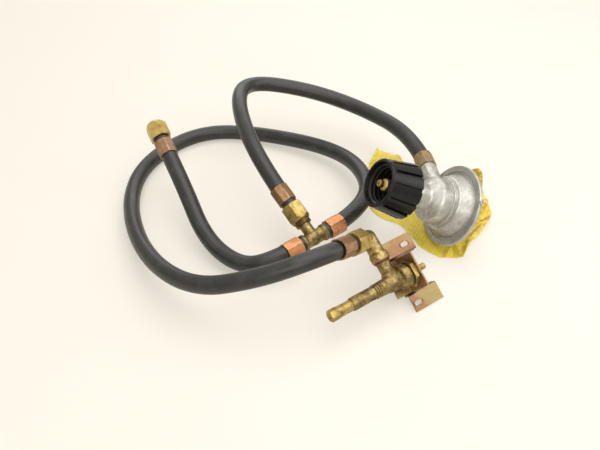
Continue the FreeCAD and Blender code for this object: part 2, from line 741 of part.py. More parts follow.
def coupling_radius(z):
    share = (z - COUPLING_BACK) / (COUPLING_MOUTH - COUPLING_BACK)
    return COUPLING_BACK_R + (COUPLING_MOUTH_R - COUPLING_BACK_R) * share


def coupling_nut():
    """Ribbed plastic nut with an internal thread of rings and a wall that runs on the journal."""
    wall_top = COUPLING_BACK + COUPLING_WALL
    inner = COUPLING_THREAD_R
    outline = [(JOURNAL_R + RUN_GAP, COUPLING_BACK), (COUPLING_BACK_R - 0.6, COUPLING_BACK),
               (COUPLING_BACK_R, COUPLING_BACK + 0.8), (COUPLING_MOUTH_R, COUPLING_MOUTH - 1.0, 0.6),
               (COUPLING_MOUTH_R - 1.0, COUPLING_MOUTH, 0.4), (COUPLING_LIP_R, COUPLING_MOUTH, 0.4),
               (COUPLING_LIP_R - 1.0, COUPLING_MOUTH - COUPLING_LEAD, 0.5),
               (inner, COUPLING_MOUTH - COUPLING_LEAD - 1.4)]
    crest = inner - COUPLING_CREST_DEPTH
    for z in COUPLING_CRESTS:
        outline += [(inner, z + 1.6), (crest, z + 0.9), (crest, z - 0.5), (inner, z - 1.2)]
    outline += [(inner, wall_top, 1.0), (JOURNAL_R + RUN_GAP, wall_top)]
    body = turned(outline)
    z_low = COUPLING_BACK - 1.0
    z_high = COUPLING_MOUTH - GROOVE_STOP
    low = coupling_radius(z_low) - GROOVE_DEPTH
    high = coupling_radius(z_high) - GROOVE_DEPTH
    clear = COUPLING_BACK_R + 6.0
    for k in range(COUPLING_GROOVES):
        groove = Part.Face(rounded_wire(
            [(low, z_low), (clear, z_low), (clear, z_high), (high + 0.6, z_high), (high, z_high - 2.0)],
            lambda p: vec(p.x, -GROOVE_WIDTH / 2, p.y))).extrude(vec(0, GROOVE_WIDTH, 0))
        groove.rotate(vec(0, 0, 0), vec(0, 0, 1), 360.0 / COUPLING_GROOVES * (k + 0.5))
        body = body.cut(groove)
    return body


def outlet_tail():
    """Brass insert pressed into the outlet boss, barbed into the hose."""
    outline = [(OUTLET_TAIL_BORE_R, -TAIL_LENGTH)] + hose_tail()
    outline += [(OUTLET_TAIL_R, 0), (OUTLET_TAIL_R, OUTLET_TAIL_IN), (OUTLET_TAIL_BORE_R, OUTLET_TAIL_IN)]
    return turned(outline)


def valve_body():
    """Brass body: barrel, drum and threaded end on Z, inlet neck on X."""
    outer = turned([
        (0, VALVE_BACK), (6.6, VALVE_BACK, 0.5), (6.9, -29.0, 2.0), (VALVE_BARREL_R, -27.0, 2.0),
        (VALVE_BARREL_R, -14.5, 1.0), (VALVE_DRUM_R, -13.0, 1.0), (VALVE_DRUM_R, -6.2, 0.8),
        (VALVE_THREAD_R - VALVE_THREAD_DEPTH, -6.2)]
        + thread_crests(VALVE_THREAD_R, VALVE_THREAD_DEPTH, -6.2, 4.4, THREAD_PITCH)
        + [(VALVE_THREAD_R - VALVE_THREAD_DEPTH, 5.0), (0, 5.0)])
    neck_end = INLET_NECK_SHOWS + INLET_NECK_IN
    neck = turned([(0, 0), (INLET_NECK_R + 1.0, 0), (INLET_NECK_R + 1.0, 8.6, 0.6), (INLET_NECK_R, 10.0, 0.6),
                   (INLET_NECK_R, neck_end - 2.0), (INLET_NECK_R - 0.5, neck_end), (0, neck_end)])
    neck.rotate(vec(0, 0, 0), vec(0, 1, 0), 90)
    neck.translate(vec(0, 0, INLET_STATION))
    seat = taper(PLUG_SMALL_R, PLUG_LARGE_R, PLUG_FROM, PLUG_TO)
    gland_room = rod(GLAND_R + FIT_GAP, PLUG_TO, 6.0)
    inlet = cross_rod(VALVE_INLET_R, neck_end + 1, (0, 0, INLET_STATION), (1, 0, 0))
    outlet = rod(VALVE_OUTLET_R, VALVE_BACK - 1, -29.0)
    way = rod(VALVE_WAY_R, -30.0, PLUG_FROM + 0.5)
    return join([outer, neck]).cut(seat).cut(gland_room).cut(inlet).cut(outlet).cut(way)


def valve_plug():
    """Tapered rotary plug with its cross hole and a slot for the stem's tongue."""
    narrowing = (PLUG_LARGE_R - PLUG_SMALL_R) / (PLUG_TO - PLUG_FROM) * PLUG_END_GAP + FIT_GAP
    z0 = PLUG_FROM + PLUG_END_GAP
    z1 = PLUG_TO - PLUG_END_GAP
    plug = taper(PLUG_SMALL_R + narrowing - 2 * FIT_GAP, PLUG_LARGE_R - narrowing, z0, z1)
    cross_hole = cross_rod(PLUG_CROSS_R, PLUG_LARGE_R + 2.4, (0, 0, INLET_STATION), (0, -1, 0))
    way = rod(PLUG_WAY_R, z0 - 1, INLET_STATION + PLUG_WAY_PAST)
    half_x = TONGUE_HALF[0] + TONGUE_SIDE_GAP
    half_y = TONGUE_HALF[1] + TONGUE_EDGE_GAP
    slot = box(-half_x, half_x, -half_y, half_y, TONGUE_END - STEM_TRAVEL - 0.5, z1 + 1)
    return plug.cut(cross_hole).cut(way).cut(slot)


def valve_stem():
    """Stem with a flat for a knob, a collar under the gland and a driving tongue."""
    low, top = STEM_COLLAR
    half_x, half_y = TONGUE_HALF
    shaft = rod(STEM_R, low, STEM_END - STEM_BEVEL)
    journal = rod(STEM_JOURNAL_R, low, STEM_SHOULDER)
    nose = taper(STEM_R, STEM_R - 0.4, STEM_END - STEM_BEVEL, STEM_END)
    collar = rod(STEM_COLLAR_WIDE_R, low, top)
    tongue = box(-half_x, half_x, -half_y, half_y, TONGUE_END, low)
    flat = box(STEM_R - STEM_FLAT_DEPTH, STEM_R + 1, -STEM_R - 1, STEM_R + 1, STEM_SHOULDER, STEM_END + 1)
    return join([shaft, journal, nose, collar, tongue]).cut(flat)


def stem_gland():
    """Bush screwed into the valve's end that holds the stem in."""
    low = STEM_COLLAR[1] + SEAT_GAP
    bore = STEM_JOURNAL_R + GLAND_GAP
    return turned([(bore, low), (GLAND_R, low), (GLAND_R, GLAND_TOP - 0.6), (GLAND_R - 0.6, GLAND_TOP),
                   (bore + 0.4, GLAND_TOP), (bore, GLAND_TOP - 0.4)])


def stem_spring():
    """Envelope of the return spring between the plug and the stem's collar."""
    inner, outer = STEM_SPRING_R
    low, top = PLUG_TO - PLUG_END_GAP, STEM_COLLAR[0]
    return rod(outer, low, top).cut(rod(inner, low, top))


def lock_nut():
    body = polygon_rod(LOCK_NUT_AF, 6, LOCK_NUT_BACK, -FIT_GAP, LOCK_NUT_BEVEL)
    return body.cut(rod(VALVE_THREAD_R + FIT_GAP, LOCK_NUT_BACK - 1, 1))


def jet_holder():
    """Barrel with three rings beside the valve, a flat and an air hole."""
    ring = HOLDER_R + HOLDER_RING_PROUD
    valley = HOLDER_R - 0.2
    neck = HOLDER_R - 0.5
    stop = VALVE_BACK - 0.1
    spigot = VALVE_OUTLET_R - FIT_GAP
    outer = turned([
        (0, HOLDER_FRONT), (HOLDER_R - 0.6, HOLDER_FRONT, 0.4), (HOLDER_R, HOLDER_FRONT + 1.2, 0.6),
        (HOLDER_R, stop - 6.5, 0.4), (neck, stop - 6.1), (neck, stop - 5.5), (ring, stop - 5.1, 0.3),
        (ring, stop - 4.1, 0.3), (valley, stop - 3.7), (valley, stop - 3.3), (ring, stop - 2.9, 0.3),
        (ring, stop - 1.9, 0.3), (valley, stop - 1.5), (valley, stop - 1.1), (ring, stop - 0.8, 0.2),
        (ring, stop), (spigot, stop), (spigot, HOLDER_SPIGOT_END), (0, HOLDER_SPIGOT_END)])
    depth, flat_from, flat_to = HOLDER_FLAT
    flat = box(-12, 12, depth, depth + 4, flat_from, flat_to)
    hole_r, hole_z = HOLDER_AIR_HOLE
    hole = cross_rod(hole_r, 8, (0, 1, hole_z), (0, 1, 0))
    body = outer.cut(flat).cut(hole)
    body.rotate(vec(0, 0, 0), vec(0, 0, 1), HOLDER_TURN)
    bore = rod(HOLDER_BORE_R, HOLDER_FRONT - 1, HOLDER_SPIGOT_END + 1)
    socket = rod(JET_SPIGOT_R + RUN_GAP, HOLDER_FRONT - 1, JET_SPIGOT_END + 0.2)
    return body.cut(bore).cut(socket)


def jet():
    """Jet with a hexagon for the spanner and a fine orifice."""
    tip = polygon_rod(JET_HEX_AF, 6, JET_TIP, JET_HEX_FROM, 0.7)
    shoulder = HOLDER_FRONT - 0.1
    barrel = turned([(0, JET_HEX_FROM - 0.4), (JET_R, JET_HEX_FROM - 0.4), (JET_R, shoulder, 0.3),
                     (JET_SPIGOT_R, shoulder), (JET_SPIGOT_R, JET_SPIGOT_END), (0, JET_SPIGOT_END)])
    bore = rod(JET_BORE_R, JET_TIP + 4.0, JET_SPIGOT_END + 0.2)
    orifice = rod(JET_ORIFICE_R, JET_TIP - 1, JET_TIP + 5.0)
    mouth = taper(2.4, 1.2, JET_TIP - 0.01, JET_TIP + 1.4)
    return join([tip, barrel]).cut(bore).cut(orifice).cut(mouth)


def elbow():
    """Brass elbow: Z from the valve up to the corner, X from the corner towards the hose."""
    boss_end = INLET_NECK_SHOWS - ELBOW_CORNER
    boss_top = boss_end + ELBOW_BOSS_LENGTH
    leg = turned([(0, boss_end), (ELBOW_BOSS_R, boss_end, 0.5), (ELBOW_BOSS_R, boss_top, 1.0),
                  (ELBOW_R, boss_top + 2.5, 1.5), (ELBOW_R, 0), (0, 0)])
    cone_end = ELBOW_CUT - STEM_HEAD_END - FIT_GAP
    nut_end = ELBOW_CUT - NUT_MOUTH
    ring_r = THREAD_R + 0.3
    outline = [(0, 0), (ELBOW_R, 0), (ELBOW_R, nut_end - 1.6, 0.3), (ring_r, nut_end - 1.0),
               (ring_r, nut_end - 0.4)]
    outline += thread_crests(THREAD_R, THREAD_DEPTH, nut_end - 0.4, cone_end - 2.4, THREAD_PITCH)
    outline += [(THREAD_R - CONE_SET_IN, cone_end), (0, cone_end)]
    male = turned(outline)
    male.rotate(vec(0, 0, 0), vec(0, 1, 0), 90)
    corner = Part.makeSphere(ELBOW_R)
    body = join([leg, male, corner])
    body = body.cut(rod(INLET_NECK_R + FIT_GAP, boss_end - 1, boss_end + INLET_NECK_IN + SEAT_GAP))
    body = body.cut(rod(FLARE_BORE_R, boss_end, 0))
    return body.cut(cross_rod(FLARE_BORE_R, cone_end + 1, (0, 0, 0), (1, 0, 0)))


def sealant():
    """Ring of hardened thread sealant squeezed out between elbow and valve neck."""
    bore = INLET_NECK_R + FIT_GAP
    top = INLET_NECK_SHOWS - FIT_GAP
    low = INLET_NECK_SHOWS - SEALANT_T
    return turned([(bore, low + 0.1), (bore + 0.45, low, 0.2), (SEALANT_R, low + 1.1, 0.5),
                   (SEALANT_R - 0.1, top), (bore, top)])


def hat_section():
    """Section of the bracket across the valve: ear, wall, web, wall, ear."""
    t = SHEET_T
    outer = BEND_R + t
    ear, web, wall = EAR_LEVEL, WEB_LEVEL, WALL_OUTER
    top = [(EAR_OUTER, ear), (wall - t, ear, outer), (wall - t, web + t, BEND_R),
           (t - wall, web + t, BEND_R), (t - wall, ear, outer), (-EAR_OUTER, ear)]
    low = [(-EAR_OUTER, ear - t), (-wall, ear - t, BEND_R), (-wall, web, outer),
           (wall, web, outer), (wall, ear - t, BEND_R), (EAR_OUTER, ear - t)]
    return top + low


def slot_shape(at, z0, z1, grow):
    half = (SLOT_LENGTH - SLOT_WIDTH) / 2
    r = SLOT_WIDTH / 2 + grow
    x, y = at
    ends = [Part.makeCylinder(r, z1 - z0, vec(x + side * half, y, z0)) for side in (-1, 1)]
    return join(ends + [box(x - half, x + half, y - r, y + r, z0, z1)])


def bracket():
    """Hat section with slotted ears and a plate bent up across the web for the valve."""
    t = SHEET_T
    half = WALL_OUTER - t - BEND_R
    low = WEB_LEVEL - 1
    web_top = WEB_LEVEL + t
    hat = prism_yz(hat_section(), EAR_FRONT, EAR_BACK)
    hat = hat.cut(box(BEND_R + t, EAR_BACK + 1, -half, half, low, web_top + 0.2))
    hat = hat.cut(box(0, BEND_R + t, -half, half, low, web_top + 0.2))
    tongue = box(WEB_FRONT, EAR_FRONT + 1, -half, half, WEB_LEVEL, web_top)
    section = [(-2.0, WEB_LEVEL), (t, WEB_LEVEL, BEND_R + t), (t, PLATE_HEIGHT), (0, PLATE_HEIGHT),
               (0, web_top, BEND_R), (-2.0, web_top)]
    plate = Part.Face(rounded_wire(section, lambda p: vec(p.x, -half, p.y))).extrude(vec(0, 2 * half, 0))
    lips = [slot_shape(at, EAR_LEVEL - 0.2, EAR_LEVEL + 0.6, SLOT_LIP) for at in (UPPER_SLOT, LOWER_SLOT)]
    body = join([hat, tongue, plate] + lips)
    for at in (UPPER_SLOT, LOWER_SLOT):
        body = body.cut(slot_shape(at, EAR_LEVEL - t - 1, EAR_LEVEL + 2, 0.0))
    return body.cut(cross_rod(VALVE_THREAD_R + FIT_GAP, t + 2, (-1, 0, 0), (1, 0, 0)))


def paper_tag():
    """Flat paper sheet that lies under the regulator."""
    moved = [(x - CENTRE_X, y - CENTRE_Y, TAG_CORNER_R) for x, y in TAG_OUTLINE]
    return prism_xy(moved, 0.0, TAG_T)


def tag_tie():
    """Short end of the tie that held the tag, lying on the tag."""
    start = (TIE_AT[0] - CENTRE_X, TIE_AT[1] - CENTRE_Y, TAG_T + TIE_R)
    return cross_rod(TIE_R, TIE_LENGTH, start, (1, 0.05, 0))


def save(name, shape):
    solid = shape.removeSplitter() if shape.ShapeType != "Solid" else shape
    if not solid.isValid():
        print("NOT VALID", name)
    if len(solid.Solids) != 1:
        print("SOLIDS", name, len(solid.Solids))
    solid.exportStep("parts/" + name + ".step")
    BOXES[name] = solid.BoundBox


def save_regulator():
    pieces = {
        "regulator_body": regulator_body(), "regulator_cover": regulator_cover(),
        "vent_screen": vent_screen(), "diaphragm": diaphragm(),
        "diaphragm_plate": diaphragm_plate(), "poppet": poppet(),
        "poppet_seat": poppet_seat(), "orifice_insert": orifice_insert(), "main_spring": main_spring(),
        "adjusting_screw": adjusting_screw(), "neck_cap": neck_cap(), "inlet_nipple": inlet_nipple(),
        "thrust_washer": thrust_washer(), "nipple_seal": nipple_seal(), "check_poppet": check_poppet(),
        "check_spring": check_spring(), "spring_stop": spring_stop(), "coupling_nut": coupling_nut()}
    for name, shape in pieces.items():
        save(name, placed(shape, REG_AT, REG_AXIS, REG_OUTLET))


def save_valve():
    pieces = {
        "valve_body": valve_body(), "valve_plug": valve_plug(), "valve_stem": valve_stem(),
        "stem_gland": stem_gland(), "stem_spring": stem_spring(), "valve_lock_nut": lock_nut(),
        "jet_holder": jet_holder(), "jet": jet()}
    for name, shape in pieces.items():
        save(name, placed(shape, VALVE_AT, VALVE_AXIS, VALVE_INLET))
    save("bracket", placed(bracket(), VALVE_AT, cross(VALVE_AXIS, BRACKET_UP), VALVE_AXIS))
    inlet_at = along(VALVE_AT, VALVE_AXIS, INLET_STATION)
    save("thread_sealant", placed(sealant(), inlet_at, VALVE_INLET, VALVE_AXIS))
    save("elbow", placed(elbow(), along(inlet_at, VALVE_INLET, ELBOW_CORNER), VALVE_INLET, ELBOW_LEG))


def save_fitting(name, cut_end, towards, side, with_nut, near=FERRULE_NEAR):
    """Ferrule, stem and nut on a hose end, z pointing out of the hose."""
    save("ferrule_" + name, placed(ferrule(near), cut_end, towards, side))
    if with_nut:
        save("stem_" + name, placed(flare_stem(), cut_end, towards, side))
        save("nut_" + name, placed(swivel_nut(), cut_end, towards, side))


def main():
    save_regulator()
    save_valve()
    save("tee_body", placed(tee_body(), TEE_AT, TEE_BRANCH, TEE_RUN))
    elbow_at = along(along(VALVE_AT, VALVE_AXIS, INLET_STATION), VALVE_INLET, ELBOW_CORNER)
    free_dir = unit(minus(FREE_END, FREE_NEXT))
    outlet_at = along(along(REG_AT, REG_AXIS, OUTLET_Z), REG_OUTLET, OUTLET_END)
    branch_cut = along(TEE_AT, TEE_BRANCH, BRANCH_CUT)
    right_cut = along(TEE_AT, TEE_RUN, TEE_FACE)
    left_cut = along(TEE_AT, TEE_RUN, -TEE_FACE)
    valve_cut = along(elbow_at, ELBOW_LEG, ELBOW_CUT)

    save_fitting("branch", branch_cut, flip(TEE_BRANCH), TEE_RUN, True)
    save_fitting("valve", valve_cut, flip(ELBOW_LEG), VALVE_AXIS, True)
    save_fitting("free_end", FREE_END, free_dir, (0, 0, 1), True)
    save_fitting("tee_right", right_cut, flip(TEE_RUN), TEE_BRANCH, False)
    save_fitting("tee_left", left_cut, TEE_RUN, TEE_BRANCH, False)
    save_fitting("regulator", outlet_at, flip(REG_OUTLET), REG_AXIS, False, OUTLET_FERRULE_NEAR)
    save("outlet_tail", placed(outlet_tail(), outlet_at, flip(REG_OUTLET), REG_AXIS))

    to_regulator = [branch_cut, along(TEE_AT, TEE_BRANCH, BRANCH_LEAVES), *REGULATOR_HOSE_BY,
                    along(outlet_at, REG_OUTLET, OUTLET_LEAVES), outlet_at]
    to_valve = [right_cut, along(TEE_AT, TEE_RUN, RIGHT_LEAVES), *VALVE_HOSE_BY,
                along(valve_cut, ELBOW_LEG, VALVE_LEAVES), valve_cut]
    to_free_end = [FREE_END, FREE_NEXT, *FREE_HOSE_BY, along(TEE_AT, TEE_RUN, LEFT_LEAVES), left_cut]
    save("hose_regulator", hose(to_regulator, "hose_regulator"))
    save("hose_valve", hose(to_valve, "hose_valve"))
    save("hose_branch", hose(to_free_end, "hose_branch"))
    save("paper_tag", paper_tag())
    save("tag_tie", tag_tie())

    away = ("hose_", "ferrule_free_end", "stem_free_end", "nut_free_end")
    kept = [b for name, b in BOXES.items() if not name.startswith(away)]
    low = [min(getattr(b, k) for b in kept) for k in ("XMin", "YMin", "ZMin")]
    high = [max(getattr(b, k) for b in kept) for k in ("XMax", "YMax", "ZMax")]
    print("box without the hoses", [round(v, 2) for v in low], [round(v, 2) for v in high])
    print("middle", [round((a + b) / 2, 2) for a, b in zip(low, high)])


main()
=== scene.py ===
"""Dressing and stage for the gas regulator, its hoses, tee and burner valve."""
import math

import bmesh
import bpy
from bpy.props import FloatProperty, FloatVectorProperty, IntProperty, PointerProperty
from bpy.types import Operator, Panel, PropertyGroup
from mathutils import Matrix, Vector


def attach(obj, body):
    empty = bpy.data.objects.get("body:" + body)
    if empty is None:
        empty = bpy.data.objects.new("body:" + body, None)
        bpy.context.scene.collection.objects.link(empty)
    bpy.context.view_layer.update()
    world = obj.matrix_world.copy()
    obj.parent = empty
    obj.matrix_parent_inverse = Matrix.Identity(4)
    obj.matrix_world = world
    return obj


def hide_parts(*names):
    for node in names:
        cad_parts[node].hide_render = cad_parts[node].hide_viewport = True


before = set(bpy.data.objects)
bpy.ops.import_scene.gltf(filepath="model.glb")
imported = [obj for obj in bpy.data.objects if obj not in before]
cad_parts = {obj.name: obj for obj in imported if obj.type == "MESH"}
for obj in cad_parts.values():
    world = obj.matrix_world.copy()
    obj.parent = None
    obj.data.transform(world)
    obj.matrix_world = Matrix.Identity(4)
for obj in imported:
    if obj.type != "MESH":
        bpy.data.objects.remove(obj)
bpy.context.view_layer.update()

bl_info = {
    "name": "Gas Regulator Set",
    "version": (1, 0, 0),
    "blender": (4, 5, 0),
    "location": "3D View > Sidebar > Regulator",
    "description": "Dresses a gas regulator with its hoses and valve, and sets the stage",
    "category": "Object",
}

# Routes of the hoses' middle lines, in metres
ROUTE_TO_REGULATOR = [
    (-0.0924, -0.0062, 0.0401), (-0.1245, 0.034, 0.0636), (-0.1503, 0.1228, 0.073),
    (-0.1403, 0.1738, 0.066), (-0.0773, 0.1778, 0.054), (-0.0183, 0.1568, 0.044),
    (0.033, 0.0919, 0.0507), (0.0418, 0.043, 0.0456)]
ROUTE_TO_VALVE = [
    (-0.0605, -0.0257, 0.0245), (-0.0311, -0.003, 0.0258), (-0.0113, 0.0418, 0.028),
    (-0.0383, 0.1118, 0.018), (-0.1333, 0.1588, 0.009), (-0.2003, 0.1598, 0.0083),
    (-0.2503, 0.1038, 0.0083), (-0.2558, 0.0318, 0.012), (-0.2248, -0.0542, 0.022),
    (-0.1733, -0.1102, 0.038), (-0.1173, -0.1202, 0.06), (-0.0653, -0.1103, 0.0761),
    (-0.0406, -0.0814, 0.0608)]
ROUTE_TO_FREE_END = [
    (-0.0808, -0.0413, 0.0235), (-0.107, -0.0616, 0.0223), (-0.1373, -0.0592, 0.012),
    (-0.1721, -0.026, 0.015), (-0.1971, 0.0298, 0.0366), (-0.2216, 0.0744, 0.058)]
# Lengths of the hoses, in metres
LENGTH_TO_REGULATOR = 0.450
LENGTH_TO_VALVE = 0.789
LENGTH_TO_FREE_END = 0.230

# Directions of the fittings, for turning marks
ALONG_REGULATOR = (-0.8504, -0.2042, 0.4848)
ALONG_BRANCH = (-0.5667, 0.7105, 0.4171)
ALONG_RUN = (0.7915, 0.6101, 0.0361)
ALONG_VALVE = (0.8192, 0.5736, 0.0)
ALONG_LEG = (-0.6021, -0.7066, 0.3716)
ALONG_FREE_END = (-0.4440, 0.8080, 0.3877)
ALONG_OUTLET = (-0.1769, 0.9789, 0.1021)

# Edges of the paper tag from its upper end to its lower end, in metres
TAG_LEFT = [
    (0.003, 0.137, 0.003), (-0.009, 0.101, 0.0012), (-0.004, 0.071, 0.0006), (-0.013, 0.045, 0.0006),
    (-0.009, 0.029, 0.0006), (0.001, 0.018, 0.0006), (0.015, 0.010, 0.0008), (0.024, -0.006, 0.0008),
    (0.032, -0.022, 0.0006), (0.048, -0.036, 0.0008)]
TAG_RIGHT = [
    (0.026, 0.125, 0.001), (0.037, 0.103, 0.0006), (0.073, 0.082, 0.002), (0.100, 0.068, 0.026),
    (0.1055, 0.056, 0.006), (0.109, 0.046, 0.0005), (0.104, 0.032, 0.013), (0.107, 0.020, 0.005),
    (0.098, 0.004, 0.006), (0.088, -0.008, 0.0012), (0.079, -0.020, 0.004), (0.070, -0.036, 0.001)]
# Folds in the paper: a point on the ridge, its direction in degrees, height and half width, in metres
TAG_FOLDS = [
    ((0.094, 0.022), 62.0, 0.0050, 0.0060), ((0.100, 0.012), 20.0, 0.0042, 0.0045),
    ((0.086, -0.004), 48.0, 0.0036, 0.0050), ((0.078, -0.016), 70.0, 0.0028, 0.0045),
    ((0.066, -0.026), 100.0, 0.0022, 0.0050), ((0.056, -0.030), 62.0, 0.0016, 0.0040),
    ((0.032, 0.000), 62.0, 0.0012, 0.0050), ((0.014, 0.030), 118.0, 0.0014, 0.0060),
    ((0.004, 0.112), 20.0, 0.0026, 0.0090), ((0.090, 0.060), 110.0, 0.0040, 0.0060)]
# Places where the paper is pressed flat: centre, full and fading radius
TAG_PRESSED = [
    ((0.045, 0.000), 0.014, 0.026), ((0.105, 0.0475), 0.0055, 0.011), ((0.026, -0.030), 0.008, 0.014)]
# Direction across the ruled lines
RULED_ACROSS = (0.877, -0.480, 0.0)

# White tie: its middle line, half width at its root, and how far it tapers and flattens
TIE_SPINE = [
    (0.1002, 0.0473, 0.0012), (0.1022, 0.0476, 0.0016), (0.1045, 0.0481, 0.0022),
    (0.1068, 0.0481, 0.0021), (0.1090, 0.0478, 0.0016), (0.1111, 0.0476, 0.0012)]
TIE_WIDTH = 0.00075
TIE_TAPER = 0.55
TIE_FLATTENING = 0.75
TIE_SIDES = 10
TIE_STEPS = 30

# Softboxes: name, setting of their power, width and depth, place, what they point at, in metres
SOFTBOXES = [
    ("overhead_softbox", "key", (1.5, 1.2), (0.16, 0.06, 1.15), (0.0, 0.0, 0.0)),
    ("front_softbox", "front", (1.6, 1.0), (0.1, -1.35, 0.95), (0.0, 0.0, 0.03)),
    ("right_softbox", "side", (0.5, 0.7), (1.05, -0.05, 0.55), (0.0, 0.0, 0.03)),
    ("back_softbox", "back", (0.9, 0.35), (-0.15, 1.1, 0.5), (0.0, 0.0, 0.03))]
# Light from all round, by height from the horizon to the top
SKY = [
    (0.0, (0.62, 0.58, 0.52)), (0.22, (0.50, 0.47, 0.43)), (0.55, (0.95, 0.92, 0.87)),
    (1.0, (1.0, 0.98, 0.94))]
FLOOR_SIZE = 9.0
# Distances from the middle between which the floor turns to its plain colour
FLOOR_FADE = (0.5, 1.6)

# Camera: lens and sensor in millimetres, tilt from straight down in degrees, place and near limit in metres
CAMERA_LENS = 42.0
CAMERA_SENSOR = 36.0
CAMERA_TILT = 48.0
CAMERA_PLACE = (-0.0833, -0.5041, 0.4636)
CAMERA_NEAR = 0.01

# Sockets of the colour mixing node
MIX_SHARE = 0
MIX_UNDER = 6
MIX_OVER = 7
MIX_RESULT = 2


def colour_property(name, description, default):
    """Setting that holds a colour."""
    return FloatVectorProperty(name=name, description=description, default=default, subtype='COLOR',
                               size=3, min=0.0, max=1.0)


class HoseSettings(PropertyGroup):
    """Sizes and colour of the rubber hoses."""
    diameter: FloatProperty(name="Diameter", description="Outside diameter of each hose", default=0.0159,
                            unit='LENGTH')
    sides: IntProperty(name="Smoothness", description="Bevel resolution of the round section", default=8)
    rubber: colour_property("Rubber", "Colour of the hose rubber", (0.024, 0.0215, 0.0185))


class TagSettings(PropertyGroup):
    """Look of the blank paper tag."""
    paper: colour_property("Paper", "Colour of the tag where the light falls on it", (1.0, 0.80, 0.095))
    # Shade is painted shade: a darker colour laid into the tag's creases and raised edge, not the paper's
    # own colour
    shade: colour_property("Shade", "Colour of the tag in its creases", (0.50, 0.27, 0.012))
    line: colour_property("Line", "Colour of the plain ruled lines", (0.70, 0.49, 0.04))
    spacing: FloatProperty(name="Spacing", description="Distance between two ruled lines", default=0.0034,
                           unit='LENGTH')
    thickness: FloatProperty(name="Thickness", description="Thickness of the paper", default=0.0003,
                             unit='LENGTH')
    tie: colour_property("Tie", "Colour of the tie's cut end", (0.86, 0.86, 0.82))


class FinishSettings(PropertyGroup):
    """Colours of the metal and plastic pieces."""
    brass: colour_property("Brass", "Turned brass", (0.56, 0.40, 0.135))
    dull_brass: colour_property("Dull brass", "Turned brass of the branch nut, the jet and the valve's trim",
                                (0.40, 0.285, 0.097))
    tarnish: colour_property("Tarnish", "Darkened brass", (0.16, 0.10, 0.03))
    forging: colour_property("Forging", "Forged brass of the elbow", (0.37, 0.268, 0.108))
    dull_forging: colour_property("Dull forging", "Forged brass of the tee and the valve",
                                  (0.27, 0.196, 0.078))
    copper: colour_property("Copper", "Crimp sleeves of the tee", (0.62, 0.29, 0.13))
    brown: colour_property("Brown", "Crimp sleeve of the valve", (0.44, 0.26, 0.14))
    umber: colour_property("Umber", "Crimp sleeve of the branch", (0.33, 0.195, 0.105))
    olive: colour_property("Olive", "Crimp sleeve of the regulator", (0.34, 0.24, 0.13))
    pink: colour_property("Pink", "Crimp sleeve of the free end", (0.36, 0.215, 0.132))
    casting: colour_property("Casting", "Die-cast regulator body and cover", (0.51, 0.497, 0.448))
    plastic: colour_property("Plastic", "Moulded coupling nut", (0.006, 0.0055, 0.005))
    zinc_pink: colour_property("Zinc pink", "Warm tint of the zinc plating", (0.31, 0.172, 0.092))
    zinc_olive: colour_property("Zinc olive", "Cool tint of the zinc plating", (0.23, 0.193, 0.074))
    zinc_straw: colour_property("Zinc straw", "Straw tint of the zinc plating", (0.30, 0.238, 0.104))
    zinc_gold: colour_property("Zinc gold", "Palest tint of the zinc plating", (0.36, 0.265, 0.145))
    sealant: colour_property("Sealant", "Hardened thread sealant", (0.17, 0.028, 0.014))
    steel: colour_property("Steel", "Springs, diaphragm plate and vent screen", (0.62, 0.62, 0.60))
    seals: colour_property("Seals", "Diaphragm, seat disc and seal ring", (0.03, 0.03, 0.03))
    grey: colour_property("Grey", "Adjusting screw, neck cap and thrust washer", (0.30, 0.30, 0.30))


class StageSettings(PropertyGroup):
    """Floor and light."""
    floor: colour_property("Floor", "Colour of the floor and backdrop", (0.985, 0.93, 0.83))
    floor_glow: FloatProperty(name="Even floor",
                              description="Share of the floor that shows its plain colour",
                              default=0.45, subtype='FACTOR', min=0.0, max=1.0)
    key: FloatProperty(name="Key light", description="Power of the overhead softbox", default=10.5,
                       unit='POWER')
    side: FloatProperty(name="Side light", description="Power of the light on the right", default=2.6,
                        unit='POWER')
    back: FloatProperty(name="Back light", description="Power of the low light behind", default=2.2,
                        unit='POWER')
    front: FloatProperty(name="Front light", description="Power of the wide light behind the camera",
                         default=8.5, unit='POWER')
    sky: FloatProperty(name="Sky", description="Strength of the light from all round", default=0.40)


def make_material(name, colour, metallic, roughness):
    """Material with one principled shader, its plain values on the shader's own sockets."""
    material = bpy.data.materials.new(name)
    material.use_nodes = True
    material.diffuse_color = (*colour, 1.0)
    shader = material.node_tree.nodes["Principled BSDF"]
    shader.inputs["Base Color"].default_value = (*colour, 1.0)
    shader.inputs["Metallic"].default_value = metallic
    shader.inputs["Roughness"].default_value = roughness
    return material, material.node_tree, shader


def grain(tree, scale, detail=4.0, axis=(0, 0, 1), stretch=(1, 1, 1), roughness=0.55, seed=0.0):
    """Noise in the piece's own space, turned so that its z runs along the axis."""
    place = tree.nodes.new("ShaderNodeTexCoord")
    mapping = tree.nodes.new("ShaderNodeMapping")
    mapping.vector_type = 'TEXTURE'
    mapping.inputs["Location"].default_value = (seed, seed * 0.7, -seed)
    turn = Vector((0, 0, 1)).rotation_difference(Vector(axis))
    mapping.inputs["Rotation"].default_value = turn.to_euler()
    mapping.inputs["Scale"].default_value = tuple(1.0 / s for s in stretch)
    noise = tree.nodes.new("ShaderNodeTexNoise")
    noise.inputs["Scale"].default_value = scale
    noise.inputs["Detail"].default_value = detail
    noise.inputs["Roughness"].default_value = roughness
    tree.links.new(place.outputs["Object"], mapping.inputs["Vector"])
    tree.links.new(mapping.outputs["Vector"], noise.inputs["Vector"])
    return noise.outputs["Fac"]


